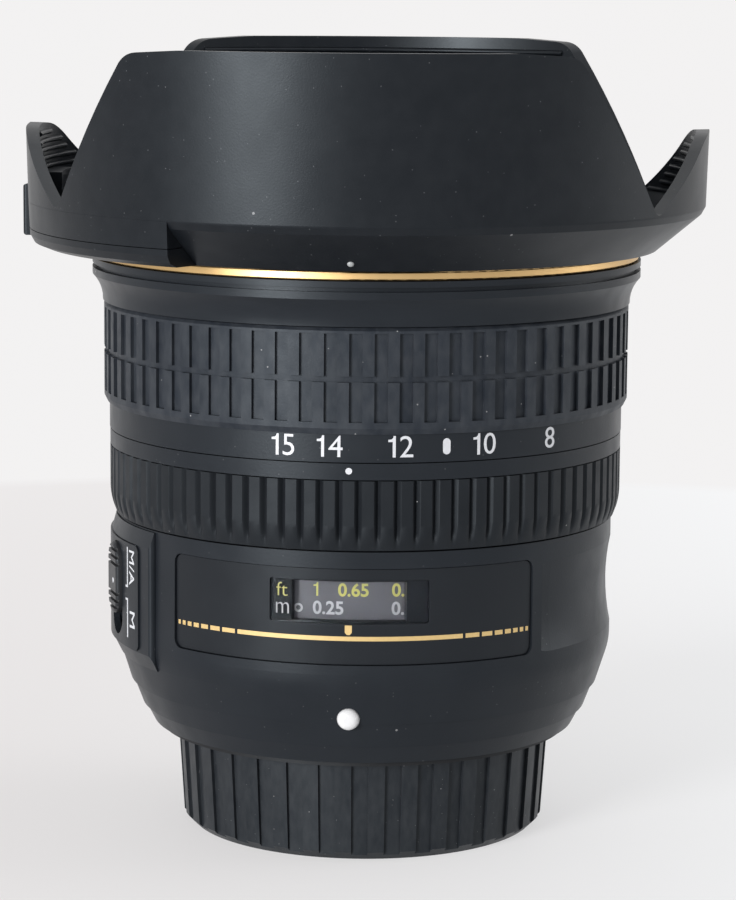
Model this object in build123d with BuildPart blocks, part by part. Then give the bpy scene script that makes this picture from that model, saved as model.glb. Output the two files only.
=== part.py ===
"""Fisheye zoom lens with its petal hood and rear cap fitted, in millimetres.

Z is the optical axis, and z = 0 is the face of the rear cap that the lens stands on.
The index marks face -Y. An azimuth is in degrees from the index marks, positive to the
right as seen from the front of the lens barrel. A rise is a height above the piece that
carries the part it names, and a drop is a depth below it.
"""
from build123d import *
from math import cos, degrees, radians, sin, sqrt
import os

os.makedirs("parts", exist_ok=True)

# Fits and gaps that many pieces share
running_fit = 0.08
nest_gap = 0.05
seam_gap = 0.15
travel_gap = 0.3
pin_fit = 0.06
lens_fit = 0.03
plate_fit = 0.12
overrun = 2.0
seam_angle = 90.0

# Bayonet mount
tube_radius = 21.9
tube_wall = 1.3
tube_length = 5.0
flange_width = 5.9
flange_thickness = 2.0
lugs = 3
lug_place_angle = 30.0
mount_lug_depth = 1.5
mount_lug_drop = 1.6
mount_lug_thickness = 1.4
mount_lug_angle = 58.0
screws = 5
screw_head_radius = 1.6
screw_head_height = 0.9
screw_radius = 0.8
screw_length = 4.0
gasket_width = 1.4
gasket_edge = 0.25

# Rear cap
cap_height = 14.4
cap_gap = 0.1
cap_floor = 2.6
cap_wall = 2.7
cap_taper = 0.85
cap_edge = 1.2
cap_lug_gap = 0.4
cap_well_gap = 0.6
cap_lug_angle = 50.0
cap_channels = 36
cap_channel_depth = 0.5
cap_channel_angle = 5.0

# Rear light baffle, with rails for a cut filter, and the contacts
baffle_thickness = 1.2
baffle_width = 25.0
baffle_height = 18.0
baffle_corner = 3.0
rail_width = 1.2
rail_height = 0.8
block_angle = 84.0
block_depth = 3.6
block_height = 5.4
contacts = 10
contact_pitch_angle = 7.0
contact_radius = 0.55
contact_length = 1.6
contact_proud = 0.3

# Rear housing
housing_height = 29.9
housing_rise = 0.5
housing_depth = 1.6
housing_wall = 1.95
throat_step = 0.6
floor_thickness = 2.4
lip_width = 1.0
lower_step_height = 2.6
lower_step_width = 1.35
upper_step_height = 3.5
upper_step_width = 1.35
step_depth = 0.3
knee_wall = 1.4
bulge_height = 5.7
bulge_depth = 0.1
bulge_round = 9.0
scoop_drop = 2.5
scoop_height = 13.0
scoop_depth = 0.6
scoop_start_angle = 50.0
scoop_angle = 105.0
bead_rise = 6.9
bead_radius = 1.55
bead_length = 2.05
bead_seat_depth = 0.65
bead_round = 1.1

# Nameplate and window
plate_half_angle = 43.6
plate_drop = 2.35
plate_height = 12.9
plate_corner = 1.2
plate_sink = 0.25
plate_thickness = 0.45
plate_gap_angle = 0.2
window_half_angle = 17.6
window_drop = 1.55
window_height = 5.8
window_corner = 0.4
window_sink = 0.05
port_half_angle = 12.9
port_margin = 0.2

# Switch boss, plate, slider and the leaf that holds it
boss_start_angle = -112.0
boss_angle = 61.0
boss_depth = 0.9
boss_drop = 0.2
boss_height = 19.5
boss_slope = 2.2
boss_round = 0.7
switch_margin_angle = 6.0
switch_angle = 50.0
switch_drop = 2.3
switch_height = 14.8
switch_corner = 1.0
switch_proud = 0.25
switch_thickness = 0.9
slot_place_angle = 36.5
slot_width = 5.7
slot_drop = 0.5
slot_height = 13.3
slider_travel = 2.9
slider_fit = 0.2
slider_proud = 0.75
slider_depth = 1.6
slider_round = 0.5
slider_ridges = 3
slider_ridge_pitch = 1.0
slider_ridge_cut = 0.45
spring_strip = 0.25
spring_width = 3.0
spring_half_length = 4.6
spring_rise = 0.5
spring_foot = 1.0

# Main circuit board
board_gap = 0.5
board_width = 5.9
board_thickness = 1.0
board_rise = 0.7
board_start_angle = -140.0
board_angle = 280.0
board_post_radius = 1.6
chip_size = 4.0
chip_height = 1.0
chips = 5
chip_pitch_angle = 42.0

# Guide barrel, the cam rings that turn on it, and the fixed barrel outside them
guide_gap = 1.1
guide_wall = 1.3
guide_foot_width = 0.4
guide_foot_height = 1.5
cam_wall = 1.22
cam_gap = 0.4
fixed_wall = 1.7
spigot_length = 2.3
retainer_height = 0.95
retainer_width = 1.15

# Focus ring, its rubber and its key, and the fixed ring with the index mark
focus_ring_height = 9.55
focus_ring_wall = 1.42
rubber_seat = 0.05
focus_rubber_thickness = 1.2
focus_rubber_rise = 0.1
focus_round_height = 3.2
focus_round_depth = 0.8
focus_ribs = 88
focus_groove_width = 0.45
focus_groove_depth = 0.6
index_height = 2.2
key_width = 5.0
key_reach = 1.0
key_place_angle = 180.0
key_margin_angle = 2.0
focus_key_rise = 1.7
focus_key_height = 2.4

# Turn and travel of the focus and zoom mechanisms, counted from rest
focus_low_angle = -28.0
focus_high_angle = 15.0
focus_travel = 1.5
zoom_low_angle = -46.0
zoom_high_angle = 14.0
front_travel = -4.0
rear_travel = 6.0

# Ring motor and the drum with the distance scale
motor_width = 0.95
stator_height = 2.8
stator_slots = 24
stator_slot_width = 0.8
stator_slot_depth = 1.0
rotor_height = 2.35
drum_margin = 0.7
drum_wall = 0.6
drum_foot = 0.6
drum_start_angle = -31.0
drum_angle = 76.0

# Zoom ring, its rubber and its key
zoom_ring_height = 17.9
zoom_ring_wall = 2.22
zoom_band_height = 3.75
zoom_band_depth = 0.5
zoom_rubber_thickness = 1.2
zoom_rubber_edge = 0.4
rubber_channels = 70
rubber_channel_angle = 2.75
rubber_channel_depth = 0.5
rubber_channel_margin = 0.75
rubber_foot_margin = 1.6
rubber_waist_rise = 7.3
rubber_waist_height = 0.8
rubber_waist_depth = 0.6
zoom_key_rise = 6.85
zoom_key_height = 3.0

# Front barrel: flare, groove, dark ring, and the nose with the hood's bayonet
flare_gap = 0.15
flare_waist_width = 0.45
flare_waist_height = 2.2
flare_width = 1.45
flare_edge_height = 3.7
flare_height = 4.7
groove_depth = 0.75
groove_height = 0.6
black_ring_height = 0.8
shoulder_rise = 6.8
gold_width = 1.75
gold_height = 1.25
nose_height = 7.0
nose_step = 0.4
nose_edge = 0.6
nose_depth = 2.15
nose_lug_place_angle = 0.0
nose_lug_angle = 40.0
nose_lug_depth = 1.4
nose_lug_drop = 0.6
nose_lug_height = 1.4
nose_stop_angle = 2.6
tooth_groove_depth = 0.9
tooth_groove_rise = 2.2
tooth_groove_height = 2.0

# Cells that slide in the guide barrel, and their pins
cell_wall = 2.0
cell_web = 1.5
hub_edge = 0.4
lens_lip = 0.8
cement = 0.02
pin_radius = 1.5
pin_depth = 2.0
front_pin_angle = 0.0
rear_pin_angle = 40.0
focus_pin_angle = 60.0

# Front group: the dome, its ring and the four elements behind it
dome_rise = 8.3
dome_thickness = 2.6
dome_edge = 1.8
dome_back_curve = 16.6
dome_back_share = 0.97
dome_ring_height = 2.6
dome_ring_gap = 0.3
cup_gap = 0.5
cup_floor = 0.8
cup_wall = 3.0
cup_height = 3.0
front_cell_length = 15.6
front_hub_wall = 2.0
front_pin_drop = 9.6
front_glass_drop = 10.9
front_glass_length = 21.1
front_glass_radius = 17.5

# Rear zoom group
group_gap = 0.5
rear_cell_length = 13.4
rear_pin_drop = 4.9
rear_web_drop = 9.4
rear_hub_height = 5.0
rear_hub_wall = 2.5
rear_glass_drop = 0.7
rear_glass_length = 10.9
rear_glass_radius = 10.0

# Focus group
focus_cell_rise = 8.3
focus_cell_length = 10.0
focus_pin_rise = 6.3
focus_web_rise = 3.2
focus_hub_drop = 1.1
focus_hub_wall = 2.5
focus_glass_drop = 0.4
focus_glass_length = 19.3
focus_glass_radius = 10.5

# Each element as shares of its group: place of the front vertex below the group's top
# and thickness, of the group's length; then front curve, back curve, radius and back
# radius, of the group's radius. A curve is positive where its centre lies behind it.
front_glass_shares = [
    (0.0, 0.0711, 1.714, 0.771, 1.0, 0.697),
    (0.5545, 0.0664, -3.429, 1.257, 0.771, 0.731),
    (0.6777, 0.2607, 1.371, -1.714, 0.6, 0.6),
    (0.9384, 0.0616, -1.714, -3.429, 0.6, 0.6),
]
rear_glass_shares = [
    (0.0, 0.367, 2.6, -6.0, 1.0, 1.0),
    (0.431, 0.459, 2.2, -2.4, 0.95, 0.95),
    (0.89, 0.11, -2.4, 4.0, 0.95, 0.95),
]
focus_glass_shares = [
    (0.0, 0.197, 2.857, -4.286, 1.0, 1.0),
    (0.2383, 0.0622, -4.762, 2.476, 0.952, 0.952),
    (0.3368, 0.2332, 2.429, -2.667, 0.933, 0.933),
    (0.6062, 0.0674, -2.476, 6.667, 0.905, 0.905),
    (0.7409, 0.1658, 3.81, -5.714, 0.905, 0.905),
    (0.9378, 0.0622, -3.619, -6.667, 0.905, 0.905),
]

# Iris
blades = 7
iris_base_thickness = 1.0
iris_bore_gap = 0.3
iris_rim = 1.3
iris_rim_gap = 0.3
blade_thickness = 0.15
blade_gap = 0.15
blade_inner = 10.2
blade_width = 4.4
blade_angle = 103.0
blade_swing_angle = 24.0
pivot_margin = 2.2
pivot_radius = 0.5
pivot_eye = 1.1
drive_margin = 1.4
drive_place_angle = 28.0
drive_radius = 0.4
drive_eye = 0.9
iris_ring_turn_angle = 30.0
iris_ring_gap = 1.0
iris_ring_edge = 1.2
iris_ring_thickness = 0.9
iris_slot_fit = 0.1
iris_motor_radius = 3.6
iris_motor_height = 6.4
iris_motor_gap = 3.5
iris_motor_shaft = 0.6
iris_motor_angle = 75.0

# Hood
hood_gap = 0.1
hood_height = 28.3
hood_wall = 1.8
hood_lug_gap = 0.3
hood_lug_angle = 34.0
hood_lug_height = 1.55
collar_thickness = 1.2
collar_height = 5.5
hood_foot_width = 1.5
hood_foot_rise = 0.15
cone_width = 6.1
cone_height = 5.3
corner_width = 0.55
corner_height = 1.0
corner_round = 0.6
wall_flare = 0.55
notch_place_angle = 57.6
notch_drop = 0.1
notch_round = 1.4
petal_corner_angle = 37.6
petal_flat_angle = 26.0
petal_corner_round = 4.0
petal_fall = 0.5
side_petal_drop = 11.4
side_corner_angle = 79.0
side_corner_round = 16.0

# Hood lock: the widened part of the cone, its lower cover, the button and the spring
lock_start_angle = -150.0
lock_angle = 120.5
lock_place_angle = -90.0
lock_seam_rise = 2.7
lock_inset = 0.15
lock_foot_inset = 2.1
lock_round_inset = 0.6
lock_round_rise = 0.8
lock_edge_rise = 1.8
button_half_width = 4.5
button_rise = 1.2
button_height = 7.2
button_thickness = 3.05
button_proud = 0.7
button_round = 0.5
button_press = 1.2
button_gap = 0.25
stem_width = 3.0
stem_margin = 0.45
tooth_gap = 0.65
lock_spring_wire = 0.3
lock_spring_radius = 1.0
lock_spring_turns = 3
lock_spring_recess = 2.1
lock_spring_drop = 2.9


def outward_plane(azimuth, radius, height):
    """Plane square to a radius, x to the right and y up as seen from outside."""
    turn = radians(azimuth)
    out = Vector(sin(turn), -cos(turn), 0)
    return Plane(
        origin=(radius * out.X, radius * out.Y, height),
        x_dir=(cos(turn), sin(turn), 0),
        z_dir=out,
    )


def section(corners, azimuth=seam_angle):
    """Closed outline of (radius, height) corners in the half plane at an azimuth."""
    turn = radians(azimuth)
    half_plane = Plane(
        origin=(0, 0, 0),
        x_dir=(sin(turn), -cos(turn), 0),
        z_dir=(-cos(turn), -sin(turn), 0),
    )
    with BuildSketch(half_plane) as outline:
        with BuildLine():
            Polyline(*corners, close=True)
        make_face()
    return outline.sketch


def turned(corners, start=seam_angle, arc=360, mode=Mode.ADD):
    """Turn an outline about the optical axis, from one azimuth through an arc."""
    revolve(section(corners, start), axis=Axis.Z, revolution_arc=arc, mode=mode)


def band(inner, outer, low, high, start=seam_angle, arc=360, mode=Mode.ADD):
    """Turn a rectangle between two radii and two heights."""
    turned([(inner, low), (outer, low), (outer, high), (inner, high)], start, arc, mode)


def panel(inner, outer, low, high, start, arc, corner):
    """Curved plate between two radii with its four corners rounded."""
    with BuildPart() as plate:
        band(inner, outer, low, high, start, arc)
        corners = plate.edges().filter_by(GeomType.LINE).filter_by(Axis.Z, reverse=True)
        fillet(corners, corner)
    return plate.part


def radial_block(azimuth, inner, outer, low, high, width, mode=Mode.ADD):
    """Straight block along a radius."""
    with BuildSketch(outward_plane(azimuth, inner, (low + high) / 2)) as face:
        Rectangle(width, high - low)
    extrude(face.sketch, amount=outer - inner, mode=mode)


def upright_slot(azimuth, low, high, radius):
    """Cutter for a slot along the axis, with round ends that clear a pin."""
    with BuildPart() as cutter:
        length = high - low + 2 * radius
        with BuildSketch(outward_plane(azimuth, guide_bore - overrun, (low + high) / 2)):
            SlotOverall(length, 2 * radius, rotation=90)
        extrude(amount=guide_radius - guide_bore + 2 * overrun)
    return cutter.part


def helical_slot(rise, arc, radius):
    """Cutter for a slot whose start is at azimuth 90; negative rise winds the other way."""
    middle = (guide_radius + cam_radius) / 2
    depth = cam_radius - guide_radius + overrun
    with BuildPart() as cutter:
        with BuildLine() as path:
            Helix(abs(rise) * 360 / arc, abs(rise), middle, lefthand=rise < 0)
        with BuildSketch(Plane(origin=path.line @ 0, x_dir=(1, 0, 0), z_dir=path.line % 0)):
            Rectangle(depth, 2 * radius)
        sweep(is_frenet=True)
        for end in (path.line @ 0, path.line @ 1):
            out = Vector(end.X, end.Y, 0).normalized()
            with BuildSketch(Plane(origin=end - out * (depth / 2), z_dir=out)):
                Circle(radius)
            extrude(amount=depth)
    return cutter.part


def cut_cam_slots(pin_azimuth, pin_height, travel, low_turn, high_turn):
    """Three helical slots that move a pin by travel over the whole turn."""
    arc = high_turn - low_turn
    at_low = pin_height + travel * low_turn / arc
    at_high = pin_height + travel * high_turn / arc
    rising = at_low > at_high
    start = pin_azimuth - (high_turn if rising else low_turn)
    cutter = helical_slot(abs(travel) * (1 if rising else -1), arc, pin_radius + pin_fit)
    with Locations((0, 0, min(at_low, at_high))):
        for third in range(lugs):
            turn = start - seam_angle + third * 360 / lugs
            add(cutter, rotation=(0, 0, turn), mode=Mode.SUBTRACT)


def guide_slots(pin_azimuth, pin_height, travel, low_turn, high_turn):
    """Cutters for the three straight slots that the same pins slide in."""
    ends = [pin_height + travel * turn / (high_turn - low_turn) for turn in (low_turn, high_turn)]
    return [
        upright_slot(pin_azimuth + third * 360 / lugs, min(ends), max(ends), pin_radius + pin_fit)
        for third in range(lugs)
    ]


def sag(curve, radius):
    """How far a sphere falls away from its vertex at a radius, with the curve's sign."""
    depth = abs(curve) - sqrt(curve * curve - radius * radius)
    return depth if curve > 0 else -depth


def element(vertex, thickness, front_curve, back_curve, radius, back_radius):
    """One lens element, turned from its two spherical faces."""
    back_vertex = vertex - thickness
    front_edge = vertex - sag(front_curve, radius)
    back_edge = back_vertex - sag(back_curve, back_radius)
    front_middle = vertex - sag(front_curve, radius / 2)
    back_middle = back_vertex - sag(back_curve, back_radius / 2)
    with BuildSketch(Plane.XZ) as outline:
        with BuildLine():
            ThreePointArc((0, vertex), (radius / 2, front_middle), (radius, front_edge))
            Line((radius, front_edge), (radius, back_edge))
            if back_radius < radius:
                Line((radius, back_edge), (back_radius, back_edge))
            ThreePointArc(
                (back_radius, back_edge), (back_radius / 2, back_middle), (0, back_vertex)
            )
            Line((0, back_vertex), (0, vertex))
        make_face()
    revolve(outline.sketch, axis=Axis.Z)
    return back_edge


def group_rows(shares, top, length, radius):
    """Real sizes of a group's elements, from its shares."""
    rows = []
    for place, thick, front, back, size, back_size in shares:
        rows.append(
            (
                top - place * length - cement / 2,
                thick * length - cement,
                front * radius,
                back * radius,
                size * radius,
                back_size * radius,
            )
        )
    return rows


def seat(row, inner):
    """Height of the shoulder that an element rests on, down to the next bore's radius."""
    vertex, thickness, front_curve, back_curve, radius, back_radius = row
    reach = min(inner, back_radius) if back_curve < 0 else back_radius
    return vertex - thickness - sag(back_curve, reach)


def group_low(rows):
    """Lowest height that the last element of a group reaches."""
    vertex, thickness, front_curve, back_curve, radius, back_radius = rows[-1]
    back_vertex = vertex - thickness
    return min(back_vertex, back_vertex - sag(back_curve, back_radius))


def bore_for(rows, top):
    """Stepped bore that takes each element from the front, down to its shoulder."""
    lip = rows[-1][4] - lens_lip
    next_bores = [row[4] + lens_fit for row in rows[1:]] + [lip]
    for row, next_bore in zip(rows, next_bores):
        low = seat(row, next_bore) - lens_fit
        band(0, row[4] + lens_fit, low, top, mode=Mode.SUBTRACT)
    band(0, lip, -overrun, top, mode=Mode.SUBTRACT)


def follower_pins(pin_azimuth, pin_height):
    """Three pins from a cell's wall into the cam slots."""
    inner = cell_radius - pin_depth
    for third in range(lugs):
        azimuth = pin_azimuth + third * 360 / lugs
        with BuildSketch(outward_plane(azimuth, inner, pin_height)) as face:
            Circle(pin_radius)
        extrude(face.sketch, amount=cam_radius - nest_gap * 2 - inner)


def pin_holes(pin_azimuth, pin_height):
    """Holes in a cell's wall for its three pins."""
    for third in range(lugs):
        azimuth = pin_azimuth + third * 360 / lugs
        plane = outward_plane(azimuth, cell_radius - pin_depth - lens_fit, pin_height)
        with BuildSketch(plane) as face:
            Circle(pin_radius + lens_fit)
        extrude(face.sketch, amount=overrun * 2, mode=Mode.SUBTRACT)


def pin_ends(pin_height, travel, low_turn, high_turn):
    """Heights of a pin at the two ends of a turn."""
    arc = high_turn - low_turn
    return pin_height + travel * low_turn / arc, pin_height + travel * high_turn / arc


# Radii of the mount and the cap
tube_bore = tube_radius - tube_wall
mount_lug_radius = tube_radius + mount_lug_depth
flange_radius = tube_radius + flange_width
gasket_radius = flange_radius + gasket_width
screw_circle = (tube_radius + flange_radius) / 2
cap_lug_radius = tube_radius + cap_lug_gap
cap_well_radius = mount_lug_radius + cap_well_gap
cap_top_radius = cap_well_radius + cap_wall
cap_bottom_radius = cap_top_radius - cap_taper
throat_radius = tube_bore - throat_step

# Radii, from the guide barrel outwards
guide_bore = flange_radius + guide_gap
guide_radius = guide_bore + guide_wall
cell_radius = guide_bore - running_fit
cell_bore = cell_radius - cell_wall
cam_bore = guide_radius + running_fit
cam_radius = cam_bore + cam_wall
fixed_bore = cam_radius + cam_gap
fixed_radius = fixed_bore + fixed_wall
ring_bore = fixed_radius + running_fit
housing_radius = fixed_radius + housing_depth
focus_ring_radius = ring_bore + focus_ring_wall
grip_radius = focus_ring_radius + rubber_seat + focus_rubber_thickness
zoom_ring_radius = ring_bore + zoom_ring_wall
zoom_band_radius = zoom_ring_radius + zoom_band_depth
rubber_radius = zoom_ring_radius + rubber_seat + zoom_rubber_thickness
flare_foot_radius = rubber_radius + flare_gap
flare_radius = flare_foot_radius + flare_width
nose_radius = flare_radius - nose_depth
nose_bore = fixed_bore - nose_step
cup_radius = nose_bore - cup_gap
dome_radius = cup_radius - cup_wall
gold_radius = nose_radius + nest_gap + gold_width
nose_lug_radius = nose_radius + nose_lug_depth
tooth_groove_radius = nose_radius - tooth_groove_depth
collar_bore = nose_lug_radius + hood_lug_gap
collar_radius = collar_bore + collar_thickness
hood_foot_radius = collar_radius + hood_foot_width
cone_edge_radius = hood_foot_radius + cone_width
hood_wall_radius = cone_edge_radius + corner_width
hood_top_radius = hood_wall_radius + wall_flare
key_inner = guide_radius + travel_gap
key_outer = ring_bore + key_reach

# Heights, from the cap's face upwards
flange_plane = cap_height + cap_gap
flange_top = flange_plane + flange_thickness
tube_bottom = flange_plane - tube_length
mount_lug_high = flange_plane - mount_lug_drop
mount_lug_low = mount_lug_high - mount_lug_thickness
floor_top = flange_top + floor_thickness
housing_bottom = flange_plane + housing_rise
housing_top = housing_bottom + housing_height
focus_ring_low = housing_top + seam_gap + nest_gap
focus_ring_high = focus_ring_low + focus_ring_height
index_low = focus_ring_high + seam_gap
index_high = index_low + index_height
zoom_low = index_high + seam_gap
zoom_high = zoom_low + zoom_ring_height
front_barrel_low = zoom_high + seam_gap
fixed_top = front_barrel_low + shoulder_rise
flare_top = front_barrel_low + flare_height
groove_top = flare_top + groove_height
black_ring_top = groove_top + black_ring_height
gold_low = black_ring_top + nest_gap
gold_top = gold_low + gold_height
nose_top = black_ring_top + nose_height
nose_lug_high = nose_top - nose_lug_drop
nose_lug_low = nose_lug_high - nose_lug_height
tooth_groove_low = black_ring_top + tooth_groove_rise
tooth_groove_high = tooth_groove_low + tooth_groove_height
hood_bottom = gold_top + hood_gap
hood_top = hood_bottom + hood_height

# The drives: keys, motor and cam rings
focus_key_low = focus_ring_low + focus_key_rise
focus_key_high = focus_key_low + focus_key_height
zoom_key_low = zoom_low + zoom_key_rise
zoom_key_high = zoom_key_low + zoom_key_height
stator_low = floor_top + guide_foot_height + nest_gap
rotor_low = stator_low + stator_height + travel_gap
focus_cam_low = rotor_low + rotor_height + nest_gap
focus_cam_high = focus_key_high + travel_gap
cam_barrel_low = focus_cam_high + travel_gap
motor_radius = guide_radius + nest_gap + motor_width
focus_pin_height = floor_top + focus_cell_rise + focus_pin_rise

# The front group hangs from the nose, and the rear group keeps clear of it
dome_vertex = nose_top + dome_rise
dome_back_radius = dome_back_share * dome_back_curve
dome_foot = dome_vertex - dome_thickness - sag(dome_back_curve, dome_back_radius)
dome_height = dome_vertex - dome_foot - dome_edge
dome_front_curve = (dome_height**2 + dome_radius**2) / (2 * dome_height)
dome_row = (
    dome_vertex,
    dome_thickness,
    dome_front_curve,
    dome_back_curve,
    dome_radius,
    dome_back_radius,
)
dome_seat = seat(dome_row, dome_back_radius) - lens_fit
cup_low = dome_seat - cup_floor
cup_high = cup_low + cup_height
front_cell_low = cup_low - front_cell_length
front_pin_height = cup_low - front_pin_drop
front_pin_ends = pin_ends(front_pin_height, front_travel, zoom_low_angle, zoom_high_angle)
front_drop = front_pin_height - min(front_pin_ends)
front_rows = group_rows(
    front_glass_shares, dome_vertex - front_glass_drop, front_glass_length, front_glass_radius
)
front_hub_radius = front_rows[1][4] + front_hub_wall
front_web_low = seat(front_rows[0], front_rows[1][4]) - cell_web
front_hub_low = group_low(front_rows) - hub_edge
guide_top = cup_low - front_drop - travel_gap
cam_barrel_high = guide_top - retainer_height - seam_gap
rear_rise = rear_travel * zoom_high_angle / (zoom_high_angle - zoom_low_angle)
rear_cell_high = front_hub_low - front_drop - rear_rise - group_gap
rear_cell_low = rear_cell_high - rear_cell_length
rear_pin_height = rear_cell_high - rear_pin_drop
rear_web_low = rear_cell_high - rear_web_drop
rear_hub_high = rear_web_low + rear_hub_height
rear_rows = group_rows(
    rear_glass_shares, rear_hub_high - rear_glass_drop, rear_glass_length, rear_glass_radius
)
rear_hub_radius = rear_glass_radius + rear_hub_wall
rear_hub_low = group_low(rear_rows) - hub_edge

# The focus group stands over the throat
focus_cell_low = floor_top + focus_cell_rise
focus_cell_high = focus_cell_low + focus_cell_length
focus_web_low = focus_cell_low + focus_web_rise
focus_hub_low = floor_top - focus_hub_drop
focus_hub_high = focus_hub_low + hub_edge + focus_glass_length + focus_glass_drop
focus_rows = group_rows(
    focus_glass_shares, focus_hub_high - focus_glass_drop, focus_glass_length, focus_glass_radius
)
focus_hub_radius = focus_glass_radius + focus_hub_wall

# Rear cap
with BuildPart() as cap_channel:
    turned(
        [
            (cap_bottom_radius - cap_channel_depth, -overrun),
            (cap_bottom_radius - cap_channel_depth, 0),
            (cap_top_radius - cap_channel_depth, cap_height),
            (cap_top_radius - cap_channel_depth, cap_height + overrun),
            (cap_top_radius + overrun, cap_height + overrun),
            (cap_top_radius + overrun, -overrun),
        ],
        start=0,
        arc=cap_channel_angle,
    )

with BuildPart() as rear_cap:
    turned(
        [
            (0, 0),
            (cap_bottom_radius - cap_edge, 0),
            (cap_bottom_radius, cap_edge),
            (cap_top_radius, cap_height),
            (cap_well_radius, cap_height),
            (cap_well_radius, cap_floor),
            (0, cap_floor),
        ]
    )
    with PolarLocations(0, cap_channels):
        add(cap_channel.part, mode=Mode.SUBTRACT)
    for third in range(lugs):
        middle = lug_place_angle + third * 360 / lugs
        band(
            cap_lug_radius,
            cap_well_radius + cap_channel_depth,
            mount_lug_high + nest_gap,
            cap_height,
            middle - cap_lug_angle / 2,
            cap_lug_angle,
        )
rear_cap.part.label = "rear_cap"
export_step(rear_cap.part, "parts/rear_cap.step")

# Metal bayonet mount
with BuildPart() as bayonet_mount:
    turned(
        [
            (tube_bore, tube_bottom),
            (tube_radius, tube_bottom),
            (tube_radius, flange_plane),
            (flange_radius, flange_plane),
            (flange_radius, flange_top),
            (tube_bore, flange_top),
        ]
    )
    for third in range(lugs):
        middle = lug_place_angle + third * 360 / lugs
        band(
            (tube_bore + tube_radius) / 2,
            mount_lug_radius,
            mount_lug_low,
            mount_lug_high,
            middle - mount_lug_angle / 2,
            mount_lug_angle,
        )
    with BuildSketch(Plane.XY.offset(flange_plane)):
        with PolarLocations(screw_circle, screws):
            Circle(screw_head_radius + nest_gap)
    extrude(amount=screw_head_height + nest_gap, mode=Mode.SUBTRACT)
    with BuildSketch(Plane.XY.offset(flange_plane)):
        with PolarLocations(screw_circle, screws):
            Circle(screw_radius + nest_gap)
    extrude(amount=flange_thickness, mode=Mode.SUBTRACT)
bayonet_mount.part.label = "bayonet_mount"
export_step(bayonet_mount.part, "parts/bayonet_mount.step")

with BuildPart() as mount_screws:
    with BuildSketch(Plane.XY.offset(flange_plane + nest_gap)):
        with PolarLocations(screw_circle, screws):
            Circle(screw_head_radius)
    extrude(amount=screw_head_height - nest_gap)
    with BuildSketch(Plane.XY.offset(flange_plane + screw_head_height)):
        with PolarLocations(screw_circle, screws):
            Circle(screw_radius)
    extrude(amount=screw_length - screw_head_height)
mount_screws.part.label = "mount_screws"
export_step(mount_screws.part, "parts/mount_screws.step")

with BuildPart() as mount_gasket:
    turned(
        [
            (flange_radius + nest_gap, flange_plane),
            (gasket_radius - gasket_edge, flange_plane - gasket_edge),
            (gasket_radius, flange_plane - gasket_edge),
            (gasket_radius, flange_top),
            (flange_radius + nest_gap, flange_top),
        ]
    )
mount_gasket.part.label = "mount_gasket"
export_step(mount_gasket.part, "parts/mount_gasket.step")

# Rear light baffle, with rails for a cut filter, under the housing's floor
baffle_low = flange_top - nest_gap - baffle_thickness
with BuildPart() as rear_baffle:
    band(0, tube_bore - nest_gap, baffle_low, baffle_low + baffle_thickness)
    with BuildSketch(Plane.XY.offset(baffle_low)):
        RectangleRounded(baffle_width, baffle_height, baffle_corner)
    extrude(amount=baffle_thickness, mode=Mode.SUBTRACT)
    rail_x = baffle_width / 2 + rail_width
    with BuildSketch(Plane.XY.offset(baffle_low - rail_height)):
        with Locations((-rail_x, 0), (rail_x, 0)):
            Rectangle(rail_width, baffle_height)
    extrude(amount=rail_height)
rear_baffle.part.label = "rear_baffle"
export_step(rear_baffle.part, "parts/rear_baffle.step")

# Contact block inside the tube, with spring contacts that face the camera
block_outer = tube_bore - nest_gap
block_inner = block_outer - block_depth
block_high = baffle_low - nest_gap
block_low = block_high - block_height
contact_circle = (block_inner + block_outer) / 2
contact_places = [(n - (contacts - 1) / 2) * contact_pitch_angle for n in range(contacts)]
with BuildPart() as contact_block:
    band(block_inner, block_outer, block_low, block_high, -block_angle / 2, block_angle)
    with BuildSketch(Plane.XY.offset(block_low)):
        for azimuth in contact_places:
            with Locations(outward_plane(azimuth, contact_circle, 0).origin):
                Circle(contact_radius + lens_fit)
    extrude(amount=contact_length - contact_proud + lens_fit, mode=Mode.SUBTRACT)
contact_block.part.label = "contact_block"
export_step(contact_block.part, "parts/contact_block.step")

with BuildPart() as contact_pins:
    with BuildSketch(Plane.XY.offset(block_low - contact_proud)):
        for azimuth in contact_places:
            with Locations(outward_plane(azimuth, contact_circle, 0).origin):
                Circle(contact_radius)
    extrude(amount=contact_length)
contact_pins.part.label = "contact_pins"
export_step(contact_pins.part, "parts/contact_pins.step")

# Rear housing with its steps, the switch boss, the plate's recess and the window port
lip_radius = gasket_radius + lip_width
lower_step_radius = lip_radius + lower_step_width
upper_step_radius = lower_step_radius + step_depth + upper_step_width
lower_step = housing_bottom + lower_step_height
upper_step = lower_step + upper_step_height
bulge_level = upper_step + bulge_height
bulge_radius = housing_radius + bulge_depth
inner_radius = housing_radius - housing_wall
guide_foot_radius = guide_radius + guide_foot_width
plate_high = housing_top - plate_drop
plate_low = plate_high - plate_height
plate_outer = housing_radius - plate_sink
window_high = plate_high - window_drop
window_low = window_high - window_height
boss_high = housing_top - boss_drop
boss_low = boss_high - boss_height
boss_radius = housing_radius + boss_depth
switch_start_angle = boss_start_angle + switch_margin_angle
switch_high = boss_high - switch_drop
switch_low = switch_high - switch_height
slider_angle = switch_start_angle + slot_place_angle
slot_high = switch_high - slot_drop
slot_low = slot_high - slot_height
scoop_high = housing_top - scoop_drop
scoop_low = scoop_high - scoop_height
bead_height = housing_bottom + bead_rise
bead_seat_radius = upper_step_radius - bead_seat_depth
bead_face_radius = bead_seat_radius + bead_length
board_outer = guide_bore - board_gap
board_inner = board_outer - board_width
recess_floor = plate_outer - plate_thickness - nest_gap
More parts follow.
